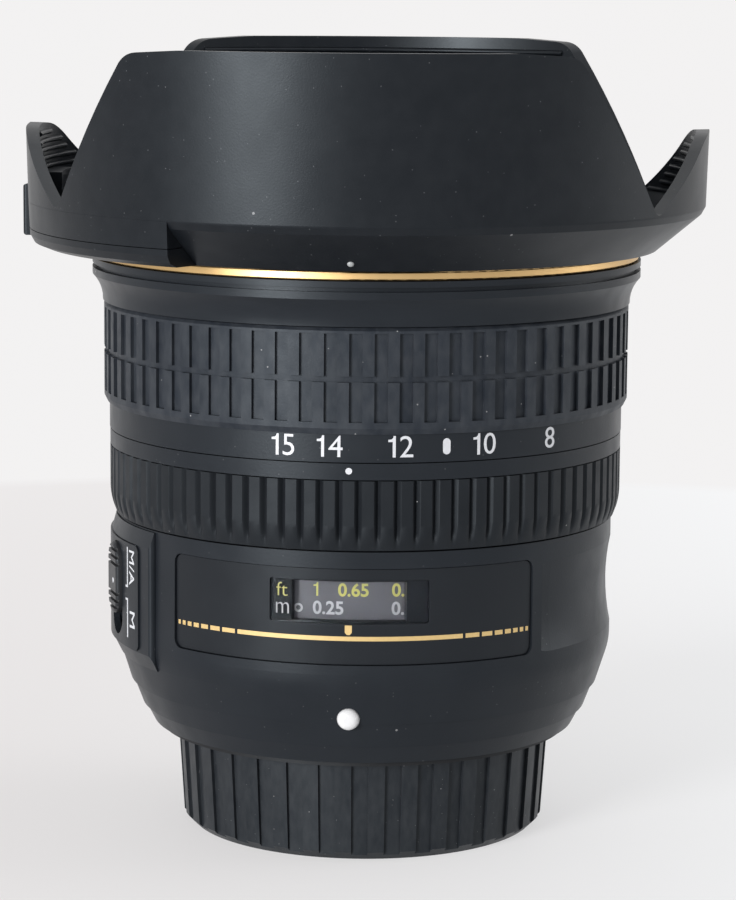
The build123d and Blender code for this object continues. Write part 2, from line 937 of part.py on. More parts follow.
nameplate_recess = panel(
    recess_floor,
    bulge_radius + overrun,
    plate_low - plate_fit,
    plate_high + plate_fit,
    -plate_half_angle - plate_gap_angle,
    2 * (plate_half_angle + plate_gap_angle),
    plate_corner + plate_fit,
)
switch_floor = boss_radius + switch_proud - switch_thickness
switch_recess = panel(
    switch_floor - nest_gap,
    boss_radius + overrun,
    switch_low - nest_gap,
    switch_high + nest_gap,
    switch_start_angle - plate_gap_angle / 2,
    switch_angle + plate_gap_angle,
    switch_corner,
)
slider_face = boss_radius + switch_proud + slider_proud
slider_floor = slider_face - slider_proud - slider_depth
spring_seat = slider_floor - nest_gap - spring_rise - spring_strip
with BuildPart() as rear_housing:
    turned(
        [
            (throat_radius, flange_top),
            (gasket_radius + nest_gap, flange_top),
            (gasket_radius + nest_gap, housing_bottom),
            (lip_radius, housing_bottom),
            (lower_step_radius, lower_step),
            (lower_step_radius + step_depth, lower_step),
            (upper_step_radius, upper_step),
            (upper_step_radius + step_depth, upper_step),
            (bulge_radius, bulge_level),
            (housing_radius, housing_top),
            (inner_radius, housing_top),
            (inner_radius, bulge_level + step_depth),
            (upper_step_radius - knee_wall, upper_step + step_depth),
            (guide_foot_radius + travel_gap, floor_top),
            (throat_radius, floor_top),
        ]
    )
    bulge_edges = rear_housing.edges().filter_by_position(
        Axis.Z, bulge_level - nest_gap, bulge_level + nest_gap
    )
    fillet(bulge_edges.sort_by(SortBy.RADIUS)[-1], bulge_round)
    turned(
        [
            (housing_radius - housing_wall / 2, boss_low),
            (bulge_radius - step_depth, boss_low),
            (boss_radius, boss_low + boss_slope),
            (boss_radius, boss_high - boss_slope),
            (housing_radius + step_depth, boss_high),
            (housing_radius - housing_wall / 2, boss_high),
        ],
        boss_start_angle,
        boss_angle,
    )
    boss_middle = (boss_low + boss_high) / 2
    boss_ends = [
        rear_housing.edges()
        .filter_by(Axis.Z)
        .sort_by_distance(outward_plane(azimuth, boss_radius, boss_middle).origin)[0]
        for azimuth in (boss_start_angle, boss_start_angle + boss_angle)
    ]
    fillet(boss_ends, boss_round)
    scoop_middle = (scoop_low + scoop_high) / 2
    scoop_turn = radians(scoop_start_angle)
    with BuildSketch(
        Plane(
            origin=(0, 0, 0),
            x_dir=(sin(scoop_turn), -cos(scoop_turn), 0),
            z_dir=(-cos(scoop_turn), -sin(scoop_turn), 0),
        )
    ) as scoop:
        with BuildLine():
            ThreePointArc(
                (bulge_radius, scoop_low),
                (housing_radius - scoop_depth, scoop_middle),
                (bulge_radius, scoop_high),
            )
            Line((bulge_radius, scoop_high), (bulge_radius, scoop_low))
        make_face()
    revolve(scoop.sketch, axis=Axis.Z, revolution_arc=scoop_angle, mode=Mode.SUBTRACT)
    add(nameplate_recess, mode=Mode.SUBTRACT)
    band(
        inner_radius - overrun,
        bulge_radius + overrun,
        window_low + port_margin,
        window_high - port_margin,
        -port_half_angle,
        2 * port_half_angle,
        Mode.SUBTRACT,
    )
    add(switch_recess, mode=Mode.SUBTRACT)
    radial_block(
        slider_angle,
        spring_seat,
        boss_radius + overrun,
        slot_low - nest_gap,
        slot_high + nest_gap,
        slot_width,
        Mode.SUBTRACT,
    )
    with BuildSketch(outward_plane(0, bead_seat_radius - nest_gap, bead_height)) as bead_hole:
        Circle(bead_radius + nest_gap)
    extrude(bead_hole.sketch, amount=bulge_radius - bead_seat_radius, mode=Mode.SUBTRACT)
    with BuildSketch(Plane.XY.offset(flange_top)):
        with PolarLocations(screw_circle, screws):
            Circle(screw_radius + lens_fit)
    extrude(amount=flange_plane + screw_length + nest_gap - flange_top, mode=Mode.SUBTRACT)
    board_middle = (board_inner + board_outer) / 2
    with BuildSketch(Plane.XY.offset(floor_top)):
        with PolarLocations(board_middle, lugs, -90 - 360 / lugs):
            Circle(board_post_radius)
    extrude(amount=board_rise)
rear_housing.part.label = "rear_housing"
export_step(rear_housing.part, "parts/rear_housing.step")

with BuildPart() as mount_index_bead:
    with BuildSketch(outward_plane(0, bead_seat_radius, bead_height)):
        Circle(bead_radius)
    extrude(amount=bead_face_radius - bead_seat_radius)
    rim = mount_index_bead.edges().sort_by(Axis.Y)[0]
    fillet(rim, bead_round)
mount_index_bead.part.label = "mount_index_bead"
export_step(mount_index_bead.part, "parts/mount_index_bead.step")

# Nameplate and window in the recess
window_opening = panel(
    recess_floor - overrun,
    plate_outer + overrun,
    window_low - nest_gap,
    window_high + nest_gap,
    -window_half_angle - plate_gap_angle,
    2 * (window_half_angle + plate_gap_angle),
    window_corner,
)
with BuildPart() as nameplate:
    add(
        panel(
            plate_outer - plate_thickness,
            plate_outer,
            plate_low,
            plate_high,
            -plate_half_angle,
            2 * plate_half_angle,
            plate_corner,
        )
    )
    add(window_opening, mode=Mode.SUBTRACT)
nameplate.part.label = "nameplate"
export_step(nameplate.part, "parts/nameplate.step")

with BuildPart() as scale_window:
    add(
        panel(
            plate_outer - plate_thickness,
            plate_outer - window_sink,
            window_low,
            window_high,
            -window_half_angle,
            2 * window_half_angle,
            window_corner,
        )
    )
scale_window.part.label = "scale_window"
export_step(scale_window.part, "parts/scale_window.step")

# Mode switch: plate, slider with ridged ends, and the leaf that holds it
slider_slot_middle = (slot_low + slot_high) / 2
with BuildPart() as switch_plate:
    add(
        panel(
            switch_floor,
            boss_radius + switch_proud,
            switch_low,
            switch_high,
            switch_start_angle,
            switch_angle,
            switch_corner,
        )
    )
    with BuildSketch(outward_plane(slider_angle, switch_floor - overrun, slider_slot_middle)):
        SlotOverall(slot_high - slot_low, slot_width, rotation=90)
    extrude(amount=switch_thickness + 2 * overrun, mode=Mode.SUBTRACT)
switch_plate.part.label = "switch_plate"
export_step(switch_plate.part, "parts/switch_plate.step")

slider_length = slot_height - slider_travel - slider_fit
slider_width = slot_width - 2 * slider_fit
slider_middle = slot_high - slider_fit / 2 - slider_length / 2
with BuildPart() as mode_switch_slider:
    with BuildSketch(outward_plane(slider_angle, slider_floor, slider_middle)):
        SlotOverall(slider_length, slider_width, rotation=90)
    extrude(amount=slider_face - slider_floor)
    outer_face = mode_switch_slider.faces().sort_by_distance(
        outward_plane(slider_angle, slider_face, slider_middle).origin
    )[0]
    fillet(outer_face.edges(), slider_round)
    for side in (-1, 1):
        for ridge in range(slider_ridges):
            place = slider_length / 2 - (ridge + 1) * slider_ridge_pitch
            height = slider_middle + side * place
            radial_block(
                slider_angle,
                slider_face - slider_ridge_cut,
                slider_face + overrun,
                height - slider_ridge_cut / 2,
                height + slider_ridge_cut / 2,
                slider_width + overrun,
                Mode.SUBTRACT,
            )
mode_switch_slider.part.label = "mode_switch_slider"
export_step(mode_switch_slider.part, "parts/mode_switch_slider.step")

with BuildPart() as switch_spring:
    spring_turn = radians(slider_angle)
    side_step = Vector(cos(spring_turn), sin(spring_turn), 0) * (spring_width / 2)
    crest = spring_seat + spring_strip + spring_rise
    with BuildSketch(
        Plane(
            origin=side_step,
            x_dir=(sin(spring_turn), -cos(spring_turn), 0),
            z_dir=(-cos(spring_turn), -sin(spring_turn), 0),
        )
    ):
        with BuildLine():
            Polyline(
                (spring_seat, slider_slot_middle - spring_half_length),
                (spring_seat, slider_slot_middle - spring_half_length + spring_foot),
                (crest - spring_strip, slider_slot_middle),
                (spring_seat, slider_slot_middle + spring_half_length - spring_foot),
                (spring_seat, slider_slot_middle + spring_half_length),
                (spring_seat + spring_strip, slider_slot_middle + spring_half_length),
                (crest, slider_slot_middle + spring_foot),
                (crest, slider_slot_middle - spring_foot),
                (spring_seat + spring_strip, slider_slot_middle - spring_half_length),
                close=True,
            )
        make_face()
    extrude(amount=spring_width)
switch_spring.part.label = "switch_spring"
export_step(switch_spring.part, "parts/switch_spring.step")

# Main circuit board round the throat
with BuildPart() as circuit_board:
    board_low = floor_top + board_rise
    band(board_inner, board_outer, board_low, board_low + board_thickness, board_start_angle, board_angle)
    for chip in range(chips):
        azimuth = (chip - (chips - 1) / 2) * chip_pitch_angle
        with BuildSketch(Plane.XY.offset(board_low + board_thickness)):
            with Locations(outward_plane(azimuth, board_middle, 0).origin):
                Rectangle(chip_size, chip_size, rotation=azimuth)
        extrude(amount=chip_height)
circuit_board.part.label = "circuit_board"
export_step(circuit_board.part, "parts/circuit_board.step")

# Fixed barrel that the outer rings turn on, with the slots that their keys pass through
spigot_radius = inner_radius - nest_gap
spigot_low = housing_top - spigot_length
key_half_angle = degrees(key_width / 2 / fixed_bore) + key_margin_angle
with BuildPart() as fixed_barrel:
    turned(
        [
            (fixed_bore, spigot_low),
            (spigot_radius, spigot_low),
            (spigot_radius, housing_top),
            (fixed_radius, housing_top),
            (fixed_radius, fixed_top),
            (fixed_bore, fixed_top),
        ]
    )
    for low, high, low_turn, high_turn in (
        (focus_key_low, focus_key_high, focus_low_angle, focus_high_angle),
        (zoom_key_low, zoom_key_high, zoom_low_angle, zoom_high_angle),
    ):
        band(
            fixed_bore - overrun,
            fixed_radius + overrun,
            low - travel_gap,
            high + travel_gap,
            key_place_angle + low_turn - key_half_angle,
            high_turn - low_turn + 2 * key_half_angle,
            Mode.SUBTRACT,
        )
fixed_barrel.part.label = "fixed_barrel"
export_step(fixed_barrel.part, "parts/fixed_barrel.step")

# Guide barrel with straight slots for the pins of the three sliding groups
straight_slots = [
    *guide_slots(
        front_pin_angle, front_pin_height, front_travel, zoom_low_angle, zoom_high_angle
    ),
    *guide_slots(rear_pin_angle, rear_pin_height, rear_travel, zoom_low_angle, zoom_high_angle),
    *guide_slots(
        focus_pin_angle, focus_pin_height, focus_travel, focus_low_angle, focus_high_angle
    ),
]
with BuildPart() as guide_barrel:
    turned(
        [
            (guide_bore, floor_top),
            (guide_foot_radius, floor_top),
            (guide_foot_radius, floor_top + guide_foot_height),
            (guide_radius, floor_top + guide_foot_height),
            (guide_radius, guide_top),
            (guide_bore, guide_top),
        ]
    )
    for cutter in straight_slots:
        add(cutter, mode=Mode.SUBTRACT)
guide_barrel.part.label = "guide_barrel"
export_step(guide_barrel.part, "parts/guide_barrel.step")

with BuildPart() as cam_retaining_ring:
    retainer_bore = guide_radius + nest_gap
    band(retainer_bore, retainer_bore + retainer_width, guide_top - retainer_height, guide_top)
cam_retaining_ring.part.label = "cam_retaining_ring"
export_step(cam_retaining_ring.part, "parts/cam_retaining_ring.step")

# Cam barrel: helical slots drive the front and rear groups when the zoom ring turns
with BuildPart() as cam_barrel:
    band(cam_bore, cam_radius, cam_barrel_low, cam_barrel_high)
    cut_cam_slots(front_pin_angle, front_pin_height, front_travel, zoom_low_angle, zoom_high_angle)
    cut_cam_slots(rear_pin_angle, rear_pin_height, rear_travel, zoom_low_angle, zoom_high_angle)
    radial_block(
        key_place_angle,
        cam_bore - overrun,
        cam_radius + overrun,
        zoom_key_low - nest_gap,
        zoom_key_high + nest_gap,
        key_width + 2 * nest_gap,
        Mode.SUBTRACT,
    )
cam_barrel.part.label = "cam_barrel"
export_step(cam_barrel.part, "parts/cam_barrel.step")

with BuildPart() as zoom_key:
    radial_block(key_place_angle, key_inner, key_outer, zoom_key_low, zoom_key_high, key_width)
zoom_key.part.label = "zoom_key"
export_step(zoom_key.part, "parts/zoom_key.step")

# Zoom ring and its rubber, two rows of blocks
zoom_band_high = zoom_low + zoom_band_height
rubber_low = zoom_band_high + nest_gap
rubber_waist = rubber_low + rubber_waist_rise
with BuildPart() as zoom_ring:
    turned(
        [
            (ring_bore, zoom_low),
            (zoom_band_radius, zoom_low),
            (zoom_band_radius, zoom_band_high),
            (zoom_ring_radius, zoom_band_high),
            (zoom_ring_radius, zoom_high),
            (ring_bore, zoom_high),
        ]
    )
    radial_block(
        key_place_angle,
        fixed_bore,
        key_outer + nest_gap,
        zoom_low - overrun,
        zoom_key_high + nest_gap,
        key_width + 2 * nest_gap,
        Mode.SUBTRACT,
    )
zoom_ring.part.label = "zoom_ring"
export_step(zoom_ring.part, "parts/zoom_ring.step")

with BuildPart() as rubber_channel:
    band(
        rubber_radius - rubber_channel_depth,
        rubber_radius + overrun,
        rubber_low + rubber_foot_margin,
        zoom_high - rubber_channel_margin,
        0,
        rubber_channel_angle,
    )

with BuildPart() as zoom_grip:
    turned(
        [
            (zoom_ring_radius + rubber_seat, rubber_low),
            (rubber_radius - zoom_rubber_edge, rubber_low),
            (rubber_radius, rubber_low + 2 * zoom_rubber_edge),
            (rubber_radius, zoom_high - zoom_rubber_edge),
            (rubber_radius - zoom_rubber_edge, zoom_high),
            (zoom_ring_radius + rubber_seat, zoom_high),
        ]
    )
    band(
        rubber_radius - rubber_waist_depth,
        rubber_radius + overrun,
        rubber_waist - rubber_waist_height / 2,
        rubber_waist + rubber_waist_height / 2,
        mode=Mode.SUBTRACT,
    )
    with PolarLocations(0, rubber_channels):
        add(rubber_channel.part, mode=Mode.SUBTRACT)
zoom_grip.part.label = "zoom_grip"
export_step(zoom_grip.part, "parts/zoom_grip.step")

# Fixed ring with the index mark
with BuildPart() as index_ring:
    band(fixed_radius + nest_gap, grip_radius, index_low, index_high)
index_ring.part.label = "index_ring"
export_step(index_ring.part, "parts/index_ring.step")

# Focus ring and its ribbed rubber
with BuildPart() as focus_ring:
    band(ring_bore, focus_ring_radius, focus_ring_low, focus_ring_high)
    radial_block(
        key_place_angle,
        fixed_bore,
        key_outer + nest_gap,
        focus_ring_low - overrun,
        focus_key_high + nest_gap,
        key_width + 2 * nest_gap,
        Mode.SUBTRACT,
    )
focus_ring.part.label = "focus_ring"
export_step(focus_ring.part, "parts/focus_ring.step")

focus_rubber_low = focus_ring_low + focus_rubber_rise
focus_round_high = focus_rubber_low + focus_round_height
focus_foot_radius = grip_radius - focus_round_depth
with BuildPart() as focus_groove:
    groove_angle = degrees(focus_groove_width / grip_radius)
    band(
        grip_radius - focus_groove_depth,
        grip_radius + overrun,
        focus_rubber_low + focus_groove_width,
        focus_ring_high + overrun,
        0,
        groove_angle,
    )

with BuildPart() as focus_grip:
    with BuildSketch(Plane.XZ):
        with BuildLine():
            Polyline(
                (grip_radius, focus_round_high),
                (grip_radius, focus_ring_high),
                (focus_ring_radius + rubber_seat, focus_ring_high),
                (focus_ring_radius + rubber_seat, focus_rubber_low),
                (focus_foot_radius, focus_rubber_low),
            )
            ThreePointArc(
                (focus_foot_radius, focus_rubber_low),
                (
                    grip_radius - (grip_radius - focus_foot_radius) * 0.3,
                    (focus_rubber_low + focus_round_high) / 2,
                ),
                (grip_radius, focus_round_high),
            )
        make_face()
    revolve(axis=Axis.Z)
    with PolarLocations(0, focus_ribs):
        add(focus_groove.part, mode=Mode.SUBTRACT)
focus_grip.part.label = "focus_grip"
export_step(focus_grip.part, "parts/focus_grip.step")

with BuildPart() as focus_key:
    radial_block(key_place_angle, key_inner, key_outer, focus_key_low, focus_key_high, key_width)
focus_key.part.label = "focus_key"
export_step(focus_key.part, "parts/focus_key.step")

# Focus cam ring, the drum with the distance scale, and the ring motor
with BuildPart() as focus_cam_ring:
    band(cam_bore, cam_radius, focus_cam_low, focus_cam_high)
    cut_cam_slots(
        focus_pin_angle, focus_pin_height, focus_travel, focus_low_angle, focus_high_angle
    )
    radial_block(
        key_place_angle,
        cam_bore - overrun,
        cam_radius + overrun,
        focus_key_low - nest_gap,
        focus_key_high + nest_gap,
        key_width + 2 * nest_gap,
        Mode.SUBTRACT,
    )
focus_cam_ring.part.label = "focus_cam_ring"
export_step(focus_cam_ring.part, "parts/focus_cam_ring.step")

drum_radius = inner_radius - travel_gap
drum_low = window_low - drum_margin
drum_high = window_high + drum_margin
with BuildPart() as distance_scale:
    turned(
        [
            (cam_radius + nest_gap, drum_low),
            (drum_radius, drum_low),
            (drum_radius, drum_high),
            (drum_radius - drum_wall, drum_high),
            (drum_radius - drum_wall, drum_low + drum_foot),
            (cam_radius + nest_gap, drum_low + drum_foot),
        ],
        drum_start_angle,
        drum_angle,
    )
distance_scale.part.label = "distance_scale"
export_step(distance_scale.part, "parts/distance_scale.step")

with BuildPart() as motor_stator:
    band(guide_radius + nest_gap, motor_radius, stator_low, stator_low + stator_height)
    with BuildSketch(Plane.XY.offset(stator_low + stator_height - stator_slot_depth)):
        with PolarLocations((guide_radius + motor_radius) / 2, stator_slots):
            Rectangle(overrun, stator_slot_width)
    extrude(amount=stator_slot_depth, mode=Mode.SUBTRACT)
motor_stator.part.label = "motor_stator"
export_step(motor_stator.part, "parts/motor_stator.step")

with BuildPart() as motor_rotor:
    band(cam_bore, motor_radius, rotor_low, rotor_low + rotor_height)
motor_rotor.part.label = "motor_rotor"
export_step(motor_rotor.part, "parts/motor_rotor.step")

# Focus group
with BuildPart() as focus_group_cell:
    turned(
        [
            (0, focus_hub_low),
            (focus_hub_radius, focus_hub_low),
            (focus_hub_radius, focus_web_low),
            (cell_bore, focus_web_low),
            (cell_bore, focus_cell_low),
            (cell_radius, focus_cell_low),
            (cell_radius, focus_cell_high),
            (cell_bore, focus_cell_high),
            (cell_bore, focus_web_low + cell_web),
            (focus_hub_radius, focus_web_low + cell_web),
            (focus_hub_radius, focus_hub_high),
            (0, focus_hub_high),
        ]
    )
    bore_for(focus_rows, focus_hub_high)
    pin_holes(focus_pin_angle, focus_pin_height)
focus_group_cell.part.label = "focus_group_cell"
export_step(focus_group_cell.part, "parts/focus_group_cell.step")

with BuildPart() as focus_group_glass:
    for row in focus_rows:
        element(*row)
focus_group_glass.part.label = "focus_group_glass"
export_step(focus_group_glass.part, "parts/focus_group_glass.step")

with BuildPart() as focus_group_pins:
    follower_pins(focus_pin_angle, focus_pin_height)
focus_group_pins.part.label = "focus_group_pins"
export_step(focus_group_pins.part, "parts/focus_group_pins.step")

# Rear zoom group, which carries the iris
motor_top = rear_web_low - nest_gap
motor_circle = rear_hub_radius + iris_motor_gap + iris_motor_radius
motor_spot = outward_plane(iris_motor_angle, motor_circle, 0).origin
with BuildPart() as rear_group_cell:
    turned(
        [
            (0, rear_hub_low),
            (rear_hub_radius, rear_hub_low),
            (rear_hub_radius, rear_web_low),
            (cell_bore, rear_web_low),
            (cell_bore, rear_cell_low),
            (cell_radius, rear_cell_low),
            (cell_radius, rear_cell_high),
            (cell_bore, rear_cell_high),
            (cell_bore, rear_web_low + cell_web),
            (rear_hub_radius, rear_web_low + cell_web),
            (rear_hub_radius, rear_hub_high),
            (0, rear_hub_high),
        ]
    )
    bore_for(rear_rows, rear_hub_high)
    pin_holes(rear_pin_angle, rear_pin_height)
    with BuildSketch(Plane.XY.offset(rear_web_low)):
        with Locations(motor_spot):
            Circle(iris_motor_shaft + nest_gap)
    extrude(amount=cell_web, mode=Mode.SUBTRACT)
rear_group_cell.part.label = "rear_group_cell"
export_step(rear_group_cell.part, "parts/rear_group_cell.step")

with BuildPart() as rear_group_glass:
    for row in rear_rows:
        element(*row)
rear_group_glass.part.label = "rear_group_glass"
export_step(rear_group_glass.part, "parts/rear_group_glass.step")

with BuildPart() as rear_group_pins:
    follower_pins(rear_pin_angle, rear_pin_height)
rear_group_pins.part.label = "rear_group_pins"
export_step(rear_group_pins.part, "parts/rear_group_pins.step")

with BuildPart() as iris_motor:
    with BuildSketch(Plane.XY.offset(motor_top - iris_motor_height)):
        with Locations(motor_spot):
            Circle(iris_motor_radius)
    extrude(amount=iris_motor_height)
    with BuildSketch(Plane.XY.offset(motor_top)):
        with Locations(motor_spot):
            Circle(iris_motor_shaft)
    extrude(amount=cell_web + overrun)
iris_motor.part.label = "iris_motor"
export_step(iris_motor.part, "parts/iris_motor.step")

# Iris: base with seven pivot holes, seven stacked blades, and the ring that swings them
iris_low = rear_hub_high + nest_gap
iris_floor = iris_low + iris_base_thickness
blade_pitch = blade_thickness + blade_gap
iris_ring_low = iris_floor + blades * blade_pitch + 2 * blade_gap
iris_ring_top = iris_ring_low + iris_ring_thickness
blade_outer = blade_inner + blade_width
pivot_circle = blade_outer + pivot_margin
drive_circle = blade_outer + drive_margin
iris_ring_bore = blade_inner + iris_ring_gap
iris_ring_radius = pivot_circle + iris_ring_edge
rim_inner = iris_ring_radius + iris_rim_gap
rim_outer = rim_inner + iris_rim
rim_top = (iris_ring_low + iris_ring_top) / 2
iris_bore = blade_inner - iris_bore_gap
blade_turns = [n * 360 / blades for n in range(blades)]
with BuildPart() as iris_base:
    turned(
        [
            (iris_bore, iris_low),
            (rim_outer, iris_low),
            (rim_outer, rim_top),
            (rim_inner, rim_top),
            (rim_inner, iris_floor),
            (iris_bore, iris_floor),
        ]
    )
    with BuildSketch(Plane.XY.offset(iris_low)):
        with PolarLocations(pivot_circle, blades):
            Circle(pivot_radius + running_fit)
    extrude(amount=iris_base_thickness, mode=Mode.SUBTRACT)
iris_base.part.label = "iris_base"
export_step(iris_base.part, "parts/iris_base.step")


def drive_point(swing_share):
    """Where a blade's drive pin lies in the ring, as the blade and the ring turn."""
    swing = radians(blade_swing_angle * swing_share)
    back = radians(iris_ring_turn_angle * swing_share)
    start = radians(drive_place_angle)
    x = drive_circle * cos(start) - pivot_circle
    y = drive_circle * sin(start)
    moved_x = pivot_circle + x * cos(swing) - y * sin(swing)
    moved_y = x * sin(swing) + y * cos(swing)
    return (
        moved_x * cos(back) - moved_y * sin(back),
        moved_x * sin(back) + moved_y * cos(back),
    )


with BuildPart() as iris_ring:
    band(iris_ring_bore, iris_ring_radius, iris_ring_low, iris_ring_top)
    for turn in blade_turns:
        with BuildSketch(Plane.XY.offset(iris_ring_low).rotated((0, 0, turn))) as slot:
            with BuildLine(mode=Mode.PRIVATE) as slot_line:
                ThreePointArc(drive_point(0), drive_point(1 / 2), drive_point(1))
            SlotArc(slot_line.edge(), 2 * (drive_radius + iris_slot_fit))
        extrude(amount=iris_ring_thickness, mode=Mode.SUBTRACT)
iris_ring.part.label = "iris_ring"
export_step(iris_ring.part, "parts/iris_ring.step")

blade_middle = (blade_inner + blade_outer) / 2
for number, turn in enumerate(blade_turns, start=1):
    blade_low = iris_floor + blade_gap + (number - 1) * blade_pitch
    with BuildPart() as iris_blade:
        with BuildSketch(Plane.XY.offset(blade_low).rotated((0, 0, turn))):
            with BuildLine(mode=Mode.PRIVATE) as crescent:
                CenterArc((0, 0), blade_middle, 0, blade_angle)
            SlotArc(crescent.edge(), blade_outer - blade_inner)
            with Locations(((pivot_circle + blade_middle) / 2, 0)):
                SlotCenterToCenter(pivot_circle - blade_middle, 2 * pivot_eye)
            with Locations((0, 0)):
                with PolarLocations(
                    (drive_circle + blade_middle) / 2, 1, start_angle=drive_place_angle
                ):
                    SlotCenterToCenter(drive_circle - blade_middle, 2 * drive_eye)
        extrude(amount=blade_thickness)
        with BuildSketch(Plane.XY.offset(iris_low + nest_gap).rotated((0, 0, turn))):
            with Locations((pivot_circle, 0)):
                Circle(pivot_radius)
        extrude(amount=blade_low - iris_low - nest_gap)
        with BuildSketch(Plane.XY.offset(blade_low + blade_thickness).rotated((0, 0, turn))):
            with PolarLocations(drive_circle, 1, start_angle=drive_place_angle):
                Circle(drive_radius)
        extrude(amount=iris_ring_top - nest_gap - blade_low - blade_thickness)
    iris_blade.part.label = f"iris_blade_{number}"
    export_step(iris_blade.part, f"parts/iris_blade_{number}.step")

# Front group, with the dome held by a ring
with BuildPart() as front_group_cell:
    turned(
        [
            (0, front_hub_low),
            (front_hub_radius, front_hub_low),
            (front_hub_radius, front_web_low),
            (cell_bore, front_web_low),
            (cell_bore, front_cell_low),
            (cell_radius, front_cell_low),
            (cell_radius, cup_low),
            (cup_radius, cup_low),
            (cup_radius, cup_high),
            (0, cup_high),
        ]
    )
    bore_for([dome_row, *front_rows], cup_high)
    pin_holes(front_pin_angle, front_pin_height)
front_group_cell.part.label = "front_group_cell"
export_step(front_group_cell.part, "parts/front_group_cell.step")

with BuildPart() as front_element:
    element(*dome_row)
front_element.part.label = "front_element"
export_step(front_element.part, "parts/front_element.step")

with BuildPart() as front_group_glass:
    for row in front_rows:
        element(*row)
front_group_glass.part.label = "front_group_glass"
export_step(front_group_glass.part, "parts/front_group_glass.step")

with BuildPart() as front_group_pins:
    follower_pins(front_pin_angle, front_pin_height)
front_group_pins.part.label = "front_group_pins"
export_step(front_group_pins.part, "parts/front_group_pins.step")


def dome_radius_at(height):
    """Radius of the dome's front face at a height."""
    centre = dome_vertex - dome_front_curve
    return sqrt(dome_front_curve**2 - (height - centre) ** 2)


dome_ring_low = cup_high + nest_gap
dome_ring_top = dome_ring_low + dome_ring_height
with BuildPart() as front_retaining_ring:
    turned(
        [
            (dome_radius_at(dome_ring_low) + dome_ring_gap, dome_ring_low),
            (cup_radius, dome_ring_low),
            (cup_radius, dome_ring_top - nose_edge),
            (cup_radius - nose_edge, dome_ring_top),
            (dome_radius_at(dome_ring_top) + dome_ring_gap, dome_ring_top),
        ]
    )
front_retaining_ring.part.label = "front_retaining_ring"
export_step(front_retaining_ring.part, "parts/front_retaining_ring.step")

# Front barrel: flare, groove, dark ring, and the nose with the hood's bayonet
barrel_bore = fixed_radius + nest_gap
flare_edge = front_barrel_low + flare_edge_height
groove_radius = flare_radius - groove_depth
with BuildPart() as front_barrel:
    with BuildSketch(Plane.XZ):
        with BuildLine():
            ThreePointArc(
                (flare_foot_radius, front_barrel_low),
                (flare_foot_radius + flare_waist_width, front_barrel_low + flare_waist_height),
                (flare_radius, flare_edge),
            )
            Polyline(
                (flare_radius, flare_edge),
                (flare_radius, flare_top),
                (groove_radius, flare_top),
                (groove_radius, groove_top),
                (flare_radius, groove_top),
                (flare_radius, black_ring_top),
                (nose_radius, black_ring_top),
                (nose_radius, tooth_groove_low),
                (tooth_groove_radius, tooth_groove_low),
                (tooth_groove_radius, tooth_groove_high),
                (nose_radius, tooth_groove_high),
                (nose_radius, nose_top - nose_edge),
                (nose_radius - nose_edge, nose_top),
                (nose_bore, nose_top),
                (nose_bore, fixed_top + nest_gap),
                (barrel_bore, fixed_top + nest_gap),
                (barrel_bore, front_barrel_low),
                (flare_foot_radius, front_barrel_low),
            )
        make_face()
    revolve(axis=Axis.Z)
    for third in range(lugs):
        start = nose_lug_place_angle - nose_lug_angle / 2 + third * 360 / lugs
        lug_root = (nose_bore + nose_radius) / 2
        band(lug_root, nose_lug_radius, nose_lug_low, nose_lug_high, start, nose_lug_angle)
    stop_start = nose_lug_place_angle - nose_lug_angle / 2
    stop_low = tooth_groove_high
    band(lug_root, nose_lug_radius, stop_low, nose_lug_high, stop_start, nose_stop_angle)
front_barrel.part.label = "front_barrel"
export_step(front_barrel.part, "parts/front_barrel.step")

with BuildPart() as gold_trim_ring:
    band(nose_radius + nest_gap, gold_radius, gold_low, gold_top)
    gold_rims = gold_trim_ring.edges().filter_by(GeomType.CIRCLE).sort_by(SortBy.RADIUS)[-2:]
    fillet(gold_rims, gold_height / 5)
gold_trim_ring.part.label = "gold_trim_ring"
export_step(gold_trim_ring.part, "parts/gold_trim_ring.step")

# Hood. Its notches are cut along four radii, between the tall and the short petals
cone_high = hood_bottom + cone_height
wall_low = cone_high + corner_height
notch_low = wall_low - notch_drop
side_petal_high = hood_top - side_petal_drop
collar_high = hood_bottom + collar_height
hood_lug_radius = nose_radius + hood_lug_gap
hood_lug_high = nose_lug_low - seam_gap
button_low = hood_bottom + button_rise
button_high = button_low + button_height
button_outer = hood_wall_radius + button_proud
button_inner = button_outer - button_thickness
pocket_radius = button_inner - button_press - button_gap
pocket_half_angle = degrees((button_half_width + hood_wall) / button_inner)
stem_low = tooth_groove_low + stem_margin
stem_high = tooth_groove_high - stem_margin
lock_seam = hood_bottom + lock_seam_rise
lock_radius = hood_wall_radius - lock_inset
cone_slope = (cone_high - hood_bottom - hood_foot_rise) / cone_width


def cone_radius(height):
    """Outer radius of the hood's cone at a height."""
    return hood_foot_radius + (height - hood_bottom - hood_foot_rise) / cone_slope


def notch_x(azimuth):
    """Sideways place, in the plane of a notch, of an azimuth on the hood's wall."""
    return hood_top_radius * sin(radians(azimuth - notch_place_angle))


def cut_button_pocket():
    """Room for the lock button, its stem and its tooth."""
    button_room = button_half_width + button_gap
    radial_block(
        lock_place_angle,
        pocket_radius,
        hood_top_radius + overrun,
        button_low - button_gap,
        button_high + button_gap,
        2 * button_room,
        Mode.SUBTRACT,
    )
    radial_block(
        lock_place_angle,
        nose_radius,
        button_inner,
        stem_low - button_gap,
        stem_high + button_gap,
        stem_width + 2 * button_gap,
        Mode.SUBTRACT,
    )


